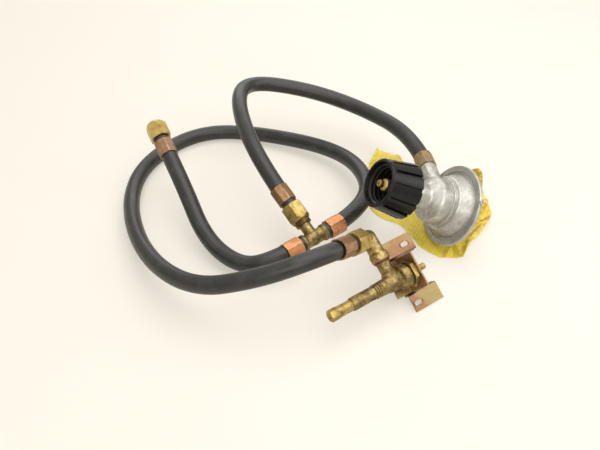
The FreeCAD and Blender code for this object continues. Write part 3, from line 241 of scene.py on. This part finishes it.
def spread(tree, value, given, wanted):
    """Map a value from the given range onto the wanted range, each as its two ends."""
    node = tree.nodes.new("ShaderNodeMapRange")
    node.inputs["From Min"].default_value, node.inputs["From Max"].default_value = given
    node.inputs["To Min"].default_value, node.inputs["To Max"].default_value = wanted
    tree.links.new(value, node.inputs["Value"])
    return node.outputs["Result"]


def tint(tree, value, stops):
    """Colour ramp over a value; stops are (place, colour)."""
    node = tree.nodes.new("ShaderNodeValToRGB")
    elements = node.color_ramp.elements
    while len(elements) < len(stops):
        elements.new(0.5)
    for element, (place, colour) in zip(elements, stops):
        element.position = place
        element.color = (*colour, 1.0)
    tree.links.new(value, node.inputs["Fac"])
    return node.outputs["Color"]


def combine(tree, operation, first, second):
    """Arithmetic on two values, each a socket or a number."""
    node = tree.nodes.new("ShaderNodeMath")
    node.operation = operation
    for socket, value in zip(node.inputs, (first, second)):
        if isinstance(value, (int, float)):
            socket.default_value = value
        else:
            tree.links.new(value, socket)
    return node.outputs["Value"]


def mingle(tree, first, second, share):
    """Blend two values: this share of the first, the rest of the second."""
    return combine(tree, 'ADD', combine(tree, 'MULTIPLY', first, share),
                   combine(tree, 'MULTIPLY', second, 1.0 - share))


def lay_over(tree, under, share, colour):
    """Lay a colour over another by a share."""
    node = tree.nodes.new("ShaderNodeMix")
    node.data_type = 'RGBA'
    node.inputs[MIX_OVER].default_value = (*colour, 1.0)
    tree.links.new(share, node.inputs[MIX_SHARE])
    tree.links.new(under, node.inputs[MIX_UNDER])
    return node.outputs[MIX_RESULT]


def seen_rays(tree):
    """Values that are 1 for the camera's rays, and for those and mirrored or refracted rays."""
    path = tree.nodes.new("ShaderNodeLightPath")
    camera = path.outputs["Is Camera Ray"]
    seen = combine(tree, 'MAXIMUM', camera, path.outputs["Is Glossy Ray"])
    return camera, combine(tree, 'MAXIMUM', seen, path.outputs["Is Transmission Ray"])


def emboss(tree, shader, height, depth, strength):
    """Bump the shader's normal by a height between 0 and 1, depth in metres."""
    node = tree.nodes.new("ShaderNodeBump")
    node.inputs["Distance"].default_value = depth
    node.inputs["Strength"].default_value = strength
    tree.links.new(height, node.inputs["Height"])
    tree.links.new(node.outputs["Normal"], shader.inputs["Normal"])


def darker(colour, share):
    """Colour times a share; a share over 1 brightens it."""
    return tuple(c * share for c in colour)


def turned_brass(name, axis, brass, finish, clean=0.5):
    """Machined brass: fine rings round the axis, tarnish in patches, the more the less clean."""
    material, tree, shader = make_material(name, brass, metallic=1.0, roughness=0.4)
    patches = grain(tree, scale=130, detail=6.0, seed=0.03, roughness=0.62)
    rings = grain(tree, scale=2600, detail=2.0, axis=axis, stretch=(0.012, 0.012, 1.0))
    stain = mingle(tree, patches, rings, 0.75)
    dull_to = 0.35 + 0.12 * (1 - clean)
    colour = tint(tree, stain, [(0.32, finish.tarnish), (dull_to, darker(brass, 0.58)),
                                (0.52, brass), (0.66, darker(brass, 1.3))])
    tree.links.new(colour, shader.inputs["Base Color"])
    tree.links.new(spread(tree, stain, (0.34, 0.64), (0.54, 0.34)), shader.inputs["Roughness"])
    emboss(tree, shader, rings, depth=0.00004, strength=0.5)
    return material


def forged_brass(name, forging, finish):
    """Forged and tumbled brass: blotched with brown, with rubbed spots and an orange-peel skin."""
    material, tree, shader = make_material(name, forging, metallic=1.0, roughness=0.45)
    patches = grain(tree, scale=150, detail=8.0, seed=0.11, roughness=0.68)
    rubbed = grain(tree, scale=420, detail=4.0, seed=0.52, roughness=0.6)
    skin = grain(tree, scale=1500, detail=3.0, seed=0.2)
    blend = mingle(tree, patches, rubbed, 0.7)
    colour = tint(tree, blend, [(0.35, darker(finish.tarnish, 0.8)), (0.45, darker(forging, 0.6)),
                                (0.53, forging), (0.64, darker(forging, 1.6))])
    tree.links.new(colour, shader.inputs["Base Color"])
    tree.links.new(spread(tree, blend, (0.35, 0.65), (0.62, 0.36)), shader.inputs["Roughness"])
    emboss(tree, shader, combine(tree, 'ADD', skin, rubbed), depth=0.00008, strength=0.6)
    return material


def crimped(name, colour, axis):
    """Plated crimp sleeve with scuffs along its length and dulled patches."""
    material, tree, shader = make_material(name, colour, metallic=1.0, roughness=0.4)
    scuffs = grain(tree, scale=1100, detail=4.0, axis=axis, stretch=(1.0, 1.0, 0.05), seed=0.05)
    patches = grain(tree, scale=210, detail=6.0, seed=0.4, roughness=0.65)
    shade = mingle(tree, scuffs, patches, 0.4)
    plating = tint(tree, shade, [(0.34, darker(colour, 0.42)), (0.45, darker(colour, 0.8)),
                                 (0.56, colour), (0.68, darker(colour, 1.3))])
    tree.links.new(plating, shader.inputs["Base Color"])
    tree.links.new(spread(tree, shade, (0.35, 0.65), (0.52, 0.32)), shader.inputs["Roughness"])
    emboss(tree, shader, scuffs, depth=0.00005, strength=0.5)
    return material


def die_casting(name, finish):
    """Tumbled zinc casting: dull warm grey, cloudy, with scuffs and a leather-fine skin."""
    material, tree, shader = make_material(name, finish.casting, metallic=0.85, roughness=0.52)
    clouds = grain(tree, scale=75, detail=9.0, seed=0.3, roughness=0.7)
    scuffs = grain(tree, scale=520, detail=5.0, axis=(0.5, 0.4, 0.77), stretch=(1.0, 1.0, 0.25), seed=0.9)
    skin = grain(tree, scale=1300, detail=4.0, seed=0.6)
    blend = mingle(tree, clouds, scuffs, 0.65)
    casting = finish.casting
    colour = tint(tree, blend, [(0.36, darker(casting, 0.62)), (0.47, darker(casting, 0.88)),
                                (0.55, casting), (0.66, darker(casting, 1.28))])
    tree.links.new(colour, shader.inputs["Base Color"])
    tree.links.new(spread(tree, blend, (0.36, 0.64), (0.58, 0.36)), shader.inputs["Roughness"])
    height = combine(tree, 'ADD', combine(tree, 'MULTIPLY', scuffs, 1.4), skin)
    emboss(tree, shader, height, depth=0.00009, strength=0.6)
    return material


def gloss_plastic(name, finish):
    """Glossy black moulding, a little dulled by handling."""
    material, tree, shader = make_material(name, finish.plastic, metallic=0.0, roughness=0.25)
    shader.inputs["Specular IOR Level"].default_value = 0.3
    swirl = grain(tree, scale=160, detail=5.0, seed=0.17)
    dust = grain(tree, scale=1900, detail=2.0, seed=0.5)
    tree.links.new(spread(tree, swirl, (0.3, 0.7), (0.24, 0.36)), shader.inputs["Roughness"])
    tree.links.new(tint(tree, dust, [(0.55, finish.plastic), (0.85, darker(finish.plastic, 2.2))]),
                   shader.inputs["Base Color"])
    emboss(tree, shader, dust, depth=0.00001, strength=0.4)
    return material


def yellow_zinc(name, finish):
    """Chromated zinc plating that drifts from pink-brown to olive across the sheet."""
    material, tree, shader = make_material(name, finish.zinc_pink, metallic=0.92, roughness=0.36)
    drift = grain(tree, scale=42, detail=5.0, stretch=(1.0, 1.3, 0.8), seed=0.22)
    rolling = grain(tree, scale=1000, detail=3.0, axis=ALONG_VALVE, stretch=(1.0, 1.0, 0.03))
    worn = grain(tree, scale=380, detail=6.0, seed=0.8, roughness=0.7)
    blend = mingle(tree, drift, worn, 0.75)
    colour = tint(tree, blend, [(0.36, finish.zinc_olive), (0.45, finish.zinc_straw),
                                (0.52, finish.zinc_pink), (0.60, darker(finish.zinc_pink, 0.78)),
                                (0.68, finish.zinc_gold)])
    tree.links.new(colour, shader.inputs["Base Color"])
    tree.links.new(spread(tree, rolling, (0.3, 0.7), (0.30, 0.46)), shader.inputs["Roughness"])
    emboss(tree, shader, rolling, depth=0.00003, strength=0.4)
    return material


def hose_rubber(name, colour):
    """Extruded rubber: satin, with a fine grain and dusty bloom."""
    material, tree, shader = make_material(name, colour, metallic=0.0, roughness=0.44)
    bloom = grain(tree, scale=80, detail=6.0, seed=0.7)
    speckle = grain(tree, scale=1500, detail=4.0, seed=0.1)
    dusty = mingle(tree, bloom, speckle, 0.7)
    rubber = tint(tree, dusty, [(0.34, darker(colour, 0.7)), (0.52, colour), (0.68, darker(colour, 1.9))])
    tree.links.new(rubber, shader.inputs["Base Color"])
    tree.links.new(spread(tree, dusty, (0.35, 0.65), (0.28, 0.46)), shader.inputs["Roughness"])
    emboss(tree, shader, speckle, depth=0.00008, strength=0.5)
    return material


def plain_moulding(name, colour, roughness):
    """Matt or rubbery moulding with a slight skin."""
    material, tree, shader = make_material(name, colour, metallic=0.0, roughness=roughness)
    skin = grain(tree, scale=1400, detail=3.0)
    surface = tint(tree, skin, [(0.35, darker(colour, 0.82)), (0.65, colour)])
    tree.links.new(surface, shader.inputs["Base Color"])
    emboss(tree, shader, skin, depth=0.00004, strength=0.5)
    return material


def drawn_steel(name, axis, steel):
    """Bright drawn steel for springs and plates."""
    material, tree, shader = make_material(name, steel, metallic=1.0, roughness=0.3)
    lines = grain(tree, scale=1800, detail=2.0, axis=axis, stretch=(0.05, 0.05, 1.0))
    tree.links.new(spread(tree, lines, (0.3, 0.7), (0.22, 0.4)), shader.inputs["Roughness"])
    emboss(tree, shader, lines, depth=0.00004, strength=0.5)
    return material


def dress(material, *nodes):
    """Give CAD nodes a material in place of their plain one."""
    for name in nodes:
        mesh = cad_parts[name].data
        mesh.materials.clear()
        mesh.materials.append(material)


class GASSET_OT_stage(Operator):
    """Set the floor, the lights and the camera"""
    bl_idname = "gasset.stage"
    bl_label = "Stage"

    def execute(self, context):
        stage = context.scene.gas_stage
        self.floor(stage)
        self.lights(context, stage)
        self.camera(context)
        context.scene.view_settings.view_transform = 'Standard'
        return {'FINISHED'}

    def floor(self, stage):
        """Pale floor that turns to its plain colour further out."""
        bpy.ops.mesh.primitive_plane_add(size=FLOOR_SIZE, location=(0, 0, 0))
        floor = bpy.context.object
        floor.name = "floor"
        material, tree, shader = make_material("pale_floor", stage.floor, metallic=0.0, roughness=0.9)
        shader.inputs["Specular IOR Level"].default_value = 0.1
        paper = grain(tree, scale=3.0, detail=2.0)
        tree.links.new(tint(tree, paper, [(0.3, darker(stage.floor, 0.985)), (0.7, stage.floor)]),
                       shader.inputs["Base Color"])
        glow = tree.nodes.new("ShaderNodeEmission")
        glow.inputs["Color"].default_value = (*stage.floor, 1.0)
        glow.inputs["Strength"].default_value = 1.0
        place = tree.nodes.new("ShaderNodeTexCoord")
        away = tree.nodes.new("ShaderNodeVectorMath")
        away.operation = 'LENGTH'
        tree.links.new(place.outputs["Object"], away.inputs[0])
        share = spread(tree, away.outputs["Value"], FLOOR_FADE, (stage.floor_glow, 1.0))
        _, seen = seen_rays(tree)
        mix = tree.nodes.new("ShaderNodeMixShader")
        tree.links.new(combine(tree, 'MULTIPLY', seen, share), mix.inputs["Fac"])
        tree.links.new(shader.outputs["BSDF"], mix.inputs[1])
        tree.links.new(glow.outputs["Emission"], mix.inputs[2])
        tree.links.new(mix.outputs["Shader"], tree.nodes["Material Output"].inputs["Surface"])
        floor.data.materials.append(material)

    def lights(self, context, stage):
        """Softboxes, and a world with light from all round."""
        for name, setting, size, place, target in SOFTBOXES:
            data = bpy.data.lights.new(name, 'AREA')
            data.shape = 'RECTANGLE'
            data.size, data.size_y = size
            data.energy = getattr(stage, setting)
            lamp = bpy.data.objects.new(name, data)
            lamp.location = place
            lamp.rotation_euler = (Vector(target) - Vector(place)).to_track_quat('-Z', 'Y').to_euler()
            context.collection.objects.link(lamp)
        world = bpy.data.worlds.new("studio")
        world.use_nodes = True
        tree = world.node_tree
        background = tree.nodes["Background"]
        place = tree.nodes.new("ShaderNodeTexCoord")
        split = tree.nodes.new("ShaderNodeSeparateXYZ")
        tree.links.new(place.outputs["Generated"], split.inputs["Vector"])
        sky = tint(tree, split.outputs["Z"], SKY)
        camera, seen = seen_rays(tree)
        tree.links.new(lay_over(tree, sky, camera, stage.floor), background.inputs["Color"])
        strength = spread(tree, seen, (0.0, 1.0), (stage.sky, 1.0))
        tree.links.new(strength, background.inputs["Strength"])
        context.scene.world = world

    def camera(self, context):
        """Camera at the photograph's viewing angle."""
        data = bpy.data.cameras.new("photo_camera")
        data.lens = CAMERA_LENS
        data.sensor_width = CAMERA_SENSOR
        data.clip_start = CAMERA_NEAR
        camera = bpy.data.objects.new("photo_camera", data)
        camera.location = CAMERA_PLACE
        camera.rotation_euler = (math.radians(CAMERA_TILT), 0.0, 0.0)
        context.collection.objects.link(camera)
        context.scene.camera = camera


class GASSET_OT_hoses(Operator):
    """Lay the three rubber hoses along their routes"""
    bl_idname = "gasset.hoses"
    bl_label = "Hoses"

    def execute(self, context):
        rubber = hose_rubber("hose_rubber", context.scene.gas_hoses.rubber)
        self.lay(context, "regulator_hose", "hose_regulator", ROUTE_TO_REGULATOR, rubber,
                 LENGTH_TO_REGULATOR)
        self.lay(context, "valve_hose", "hose_valve", ROUTE_TO_VALVE, rubber, LENGTH_TO_VALVE)
        self.lay(context, "free_hose", "hose_branch", ROUTE_TO_FREE_END, rubber, LENGTH_TO_FREE_END,
                 far_end="fitting", carried=("ferrule_free_end", "stem_free_end", "nut_free_end"))
        return {'FINISHED'}

    def lay(self, context, name, node, route, rubber, length, far_end="object", carried=()):
        """Lay one hose along its route, in place of its CAD node."""
        hoses = context.scene.gas_hoses
        curve = bpy.data.curves.new(name, 'CURVE')
        curve.dimensions = '3D'
        curve.resolution_u = 24
        curve.bevel_depth = hoses.diameter / 2
        curve.bevel_resolution = hoses.sides
        curve.use_fill_caps = True
        spline = curve.splines.new('NURBS')
        spline.points.add(len(route) - 1)
        for point, at in zip(spline.points, route):
            point.co = (*at, 1.0)
        spline.order_u = 3
        spline.use_endpoint_u = True
        curve.materials.append(rubber)
        hose = bpy.data.objects.new(name, curve)
        context.collection.objects.link(hose)
        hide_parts(node)
        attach(hose, "set")


def along_edge(edge, share):
    """Point on an edge's open line at a share of its steps, smoothed between them."""
    place = share * (len(edge) - 1)
    i = min(int(place), len(edge) - 2)
    t = place - i
    a = Vector(edge[max(i - 1, 0)])
    b = Vector(edge[i])
    c = Vector(edge[i + 1])
    d = Vector(edge[min(i + 2, len(edge) - 1)])
    bend = (2 * a - 5 * b + 4 * c - d) * t * t
    turn = (3 * b - a - 3 * c + d) * t ** 3
    return 0.5 * (2 * b + (c - a) * t + bend + turn)


def ease(value):
    """Smooth step from 0 to 1."""
    value = min(max(value, 0.0), 1.0)
    return value * value * (3.0 - 2.0 * value)


class GASSET_OT_tag(Operator):
    """Lay the blank paper tag under the regulator, with its creases and its raised edge"""
    bl_idname = "gasset.tag"
    bl_label = "Paper tag"

    # Steps along and across the paper
    rows = 170
    columns = 110
    # Height of the paper's middle layer where it lies flat, in metres
    lowest = 0.00035
    # Shares of the width where the right edge starts to rise and where the left edge lies flat
    fold_from = 0.80
    curl_to = 0.14
    # How late the right edge rises; 1 is an even rise
    rise_power = 1.4
    # Half length of a fold, in half widths
    fold_reach = 6.0
    # Height in metres at which a fold gets the full painted crease shade
    full_fold = 0.004
    # Height in metres at which the raised edge gets the painted crease shade by the share below
    full_edge = 0.012
    edge_share = 0.6

    def crumple(self, x, y):
        """Height of the folds at a place on the table."""
        height = 0.0
        for (fx, fy), angle, amount, width in TAG_FOLDS:
            turn = math.radians(angle)
            u = (x - fx) * math.cos(turn) + (y - fy) * math.sin(turn)
            v = (y - fy) * math.cos(turn) - (x - fx) * math.sin(turn)
            side = abs(v) / width
            end = abs(u) / (self.fold_reach * width)
            if side < 1.0 and end < 1.0:
                height = max(height, amount * (1.0 - side) * (1.0 - ease(end)))
        for (px, py), near, far in TAG_PRESSED:
            height *= ease((math.hypot(x - px, y - py) - near) / (far - near))
        return height

    def execute(self, context):
        tag = context.scene.gas_tag
        mesh = bmesh.new()
        creased = mesh.verts.layers.float.new("creased")
        grid = []
        for i in range(self.rows + 1):
            left = along_edge(TAG_LEFT, i / self.rows)
            right = along_edge(TAG_RIGHT, i / self.rows)
            line = []
            for j in range(self.columns + 1):
                across = j / self.columns
                x, y, _ = left.lerp(right, across)
                rise = ease((across - self.fold_from) / (1.0 - self.fold_from)) ** self.rise_power
                curl = ease((self.curl_to - across) / self.curl_to)
                folds = self.crumple(x, y)
                z = self.lowest + rise * right.z + curl * left.z + folds
                vert = mesh.verts.new((x, y, z))
                edge = self.edge_share * rise * right.z / self.full_edge
                # Mask of the painted crease shade: the fold height, plus the rise of the right edge
                vert[creased] = min(1.0, folds / self.full_fold + edge)
                line.append(vert)
            grid.append(line)
        for i in range(self.rows):
            for j in range(self.columns):
                mesh.faces.new((grid[i][j], grid[i + 1][j], grid[i + 1][j + 1], grid[i][j + 1]))
        bmesh.ops.recalc_face_normals(mesh, faces=mesh.faces)
        data = bpy.data.meshes.new("tag_sheet")
        mesh.to_mesh(data)
        mesh.free()
        for face in data.polygons:
            face.use_smooth = True
        sheet = bpy.data.objects.new("tag_sheet", data)
        context.collection.objects.link(sheet)
        body = sheet.modifiers.new("paper", 'SOLIDIFY')
        body.thickness = tag.thickness
        body.offset = 0.0
        data.materials.append(self.paper(tag))
        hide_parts("paper_tag")
        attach(sheet, "set")
        self.tie(context)
        return {'FINISHED'}

    def paper(self, tag):
        """Coated yellow paper with faint plain ruled lines, and painted shade that makes it browner in its
        creases and on its raised edge.
        """
        material, tree, shader = make_material("tag_paper", tag.paper, metallic=0.0, roughness=0.45)
        creases = grain(tree, scale=95, detail=6.0, seed=0.4)
        crinkle = grain(tree, scale=260, detail=5.0, seed=0.15)
        # Painted shade: the mesh's crease mask, made patchy by noise, browns the creases and the raised edge
        crease_shade_mask = tree.nodes.new("ShaderNodeAttribute")
        crease_shade_mask.attribute_name = "creased"
        crease_shade_patchiness = spread(tree, crinkle, (0.35, 0.65), (0.2, 1.3))
        painted_crease_shade = combine(tree, 'MULTIPLY', crease_shade_mask.outputs["Fac"], crease_shade_patchiness)
        paper = tint(tree, creases, [(0.34, darker(tag.paper, 0.84)), (0.6, tag.paper)])
        place = tree.nodes.new("ShaderNodeTexCoord")
        rows = tree.nodes.new("ShaderNodeVectorMath")
        rows.operation = 'DOT_PRODUCT'
        rows.inputs[1].default_value = RULED_ACROSS
        tree.links.new(place.outputs["Object"], rows.inputs[0])
        step = combine(tree, 'FRACT', combine(tree, 'DIVIDE', rows.outputs["Value"], tag.spacing), 0.0)
        from_line = combine(tree, 'ABSOLUTE', combine(tree, 'SUBTRACT', step, 0.5), 0.0)
        ruled = spread(tree, from_line, (0.05, 0.11), (0.8, 0.0))
        faded = combine(tree, 'MULTIPLY', ruled, spread(tree, crinkle, (0.40, 0.58), (0.15, 1.0)))
        colour = lay_over(tree, paper, faded, tag.line)
        colour = lay_over(tree, colour, painted_crease_shade, tag.shade)
        tree.links.new(colour, shader.inputs["Base Color"])
        emboss(tree, shader, crinkle, depth=0.0006, strength=0.5)
        return material

    def tie(self, context):
        """Cut end of the white tie, bent where it was pulled tight."""
        mesh = bmesh.new()
        rings = []
        for i in range(TIE_STEPS + 1):
            at = along_edge(TIE_SPINE, i / TIE_STEPS)
            width = TIE_WIDTH * (1.0 - TIE_TAPER * i / TIE_STEPS)
            ring = []
            for k in range(TIE_SIDES):
                angle = 2 * math.pi * k / TIE_SIDES
                y = at.y + width * math.cos(angle)
                z = at.z + TIE_FLATTENING * width * math.sin(angle)
                ring.append(mesh.verts.new((at.x, y, z)))
            rings.append(ring)
        for low, high in zip(rings, rings[1:]):
            for k in range(TIE_SIDES):
                after = (k + 1) % TIE_SIDES
                mesh.faces.new((low[k], high[k], high[after], low[after]))
        mesh.faces.new(rings[0])
        mesh.faces.new(list(reversed(rings[-1])))
        bmesh.ops.recalc_face_normals(mesh, faces=mesh.faces)
        data = bpy.data.meshes.new("tie_end")
        mesh.to_mesh(data)
        mesh.free()
        for face in data.polygons:
            face.use_smooth = len(face.vertices) == 4
        tie = bpy.data.objects.new("tie_end", data)
        context.collection.objects.link(tie)
        data.materials.append(plain_moulding("white_tie", context.scene.gas_tag.tie, 0.4))
        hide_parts("tag_tie")
        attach(tie, "set")


class GASSET_OT_fittings(Operator):
    """Give the turned and forged brass fittings their finish"""
    bl_idname = "gasset.fittings"
    bl_label = "Brass fittings"

    def execute(self, context):
        finish = context.scene.gas_finish
        clean = 0.8
        dress(turned_brass("brass_branch_nut", ALONG_BRANCH, finish.dull_brass, finish),
              "nut_branch", "stem_branch")
        dress(turned_brass("brass_valve_nut", ALONG_LEG, finish.brass, finish, clean),
              "nut_valve", "stem_valve")
        dress(turned_brass("brass_free_nut", ALONG_FREE_END, finish.brass, finish, clean),
              "nut_free_end", "stem_free_end")
        dress(turned_brass("brass_nipple", ALONG_REGULATOR, finish.brass, finish, clean),
              "inlet_nipple", "check_poppet", "spring_stop", "orifice_insert", "poppet")
        dress(turned_brass("brass_jet", ALONG_VALVE, finish.dull_brass, finish, clean),
              "jet", "valve_lock_nut", "stem_gland", "valve_stem", "valve_plug", "outlet_tail")
        dress(forged_brass("brass_forging", finish.dull_forging, finish),
              "tee_body", "valve_body", "jet_holder")
        dress(forged_brass("brass_elbow", finish.forging, finish), "elbow")
        return {'FINISHED'}


class GASSET_OT_crimps(Operator):
    """Give each crimp sleeve its plating"""
    bl_idname = "gasset.crimps"
    bl_label = "Crimp sleeves"

    def execute(self, context):
        finish = context.scene.gas_finish
        dress(crimped("crimp_tee", finish.copper, ALONG_RUN), "ferrule_tee_left", "ferrule_tee_right")
        dress(crimped("crimp_branch", finish.umber, ALONG_BRANCH), "ferrule_branch")
        dress(crimped("crimp_valve", finish.brown, ALONG_LEG), "ferrule_valve")
        dress(crimped("crimp_free_end", finish.pink, ALONG_FREE_END), "ferrule_free_end")
        dress(crimped("crimp_regulator", finish.olive, ALONG_OUTLET), "ferrule_regulator")
        return {'FINISHED'}


class GASSET_OT_regulator(Operator):
    """Give the regulator's castings, nut and inner pieces their finish"""
    bl_idname = "gasset.regulator"
    bl_label = "Regulator"

    def execute(self, context):
        finish = context.scene.gas_finish
        dress(die_casting("zinc_casting", finish), "regulator_body", "regulator_cover")
        dress(gloss_plastic("black_moulding", finish), "coupling_nut")
        dress(drawn_steel("bright_steel", ALONG_REGULATOR, finish.steel),
              "main_spring", "check_spring", "diaphragm_plate", "vent_screen", "stem_spring")
        dress(plain_moulding("soft_rubber", finish.seals, 0.6), "diaphragm", "poppet_seat", "nipple_seal")
        dress(plain_moulding("grey_moulding", finish.grey, 0.5), "adjusting_screw", "neck_cap",
              "thrust_washer")
        return {'FINISHED'}


class GASSET_OT_bracket(Operator):
    """Give the bracket and the sealant their finish"""
    bl_idname = "gasset.bracket"
    bl_label = "Bracket"

    def execute(self, context):
        finish = context.scene.gas_finish
        dress(yellow_zinc("yellow_zinc", finish), "bracket")
        dress(plain_moulding("thread_sealant", finish.sealant, 0.35), "thread_sealant")
        return {'FINISHED'}


class GASSET_PT_panel(Panel):
    """Sidebar panel that lists the pieces and their settings"""
    bl_label = "Gas Regulator Set"
    bl_space_type = 'VIEW_3D'
    bl_region_type = 'UI'
    bl_category = "Regulator"

    def draw(self, context):
        scene = context.scene
        for step in STEPS:
            self.layout.operator(step.bl_idname)
        for group, names in (
                (scene.gas_hoses, ("diameter", "sides", "rubber")),
                (scene.gas_tag, ("paper", "shade", "line", "spacing", "thickness", "tie")),
                (scene.gas_finish, ("brass", "dull_brass", "tarnish", "forging", "dull_forging", "copper",
                                    "brown", "umber", "olive", "pink", "casting", "plastic", "zinc_pink",
                                    "zinc_olive", "zinc_straw", "zinc_gold", "sealant", "steel", "seals",
                                    "grey")),
                (scene.gas_stage, ("floor", "floor_glow", "key", "front", "side", "back", "sky"))):
            box = self.layout.box()
            for name in names:
                box.prop(group, name)


STEPS = (GASSET_OT_stage, GASSET_OT_hoses, GASSET_OT_tag, GASSET_OT_fittings, GASSET_OT_crimps,
         GASSET_OT_regulator, GASSET_OT_bracket)
GROUPS = {"gas_hoses": HoseSettings, "gas_tag": TagSettings, "gas_finish": FinishSettings,
          "gas_stage": StageSettings}


def register():
    for group in GROUPS.values():
        bpy.utils.register_class(group)
    for name, group in GROUPS.items():
        setattr(bpy.types.Scene, name, PointerProperty(type=group))
    for cls in (*STEPS, GASSET_PT_panel):
        bpy.utils.register_class(cls)


def unregister():
    for cls in reversed((*STEPS, GASSET_PT_panel)):
        bpy.utils.unregister_class(cls)
    for name, group in reversed(GROUPS.items()):
        delattr(bpy.types.Scene, name)
        bpy.utils.unregister_class(group)


def main():
    register()
    bpy.ops.gasset.stage()
    bpy.ops.gasset.hoses()
    bpy.ops.gasset.tag()
    bpy.ops.gasset.fittings()
    bpy.ops.gasset.crimps()
    bpy.ops.gasset.regulator()
    bpy.ops.gasset.bracket()


if __name__ == "__main__":
    main()
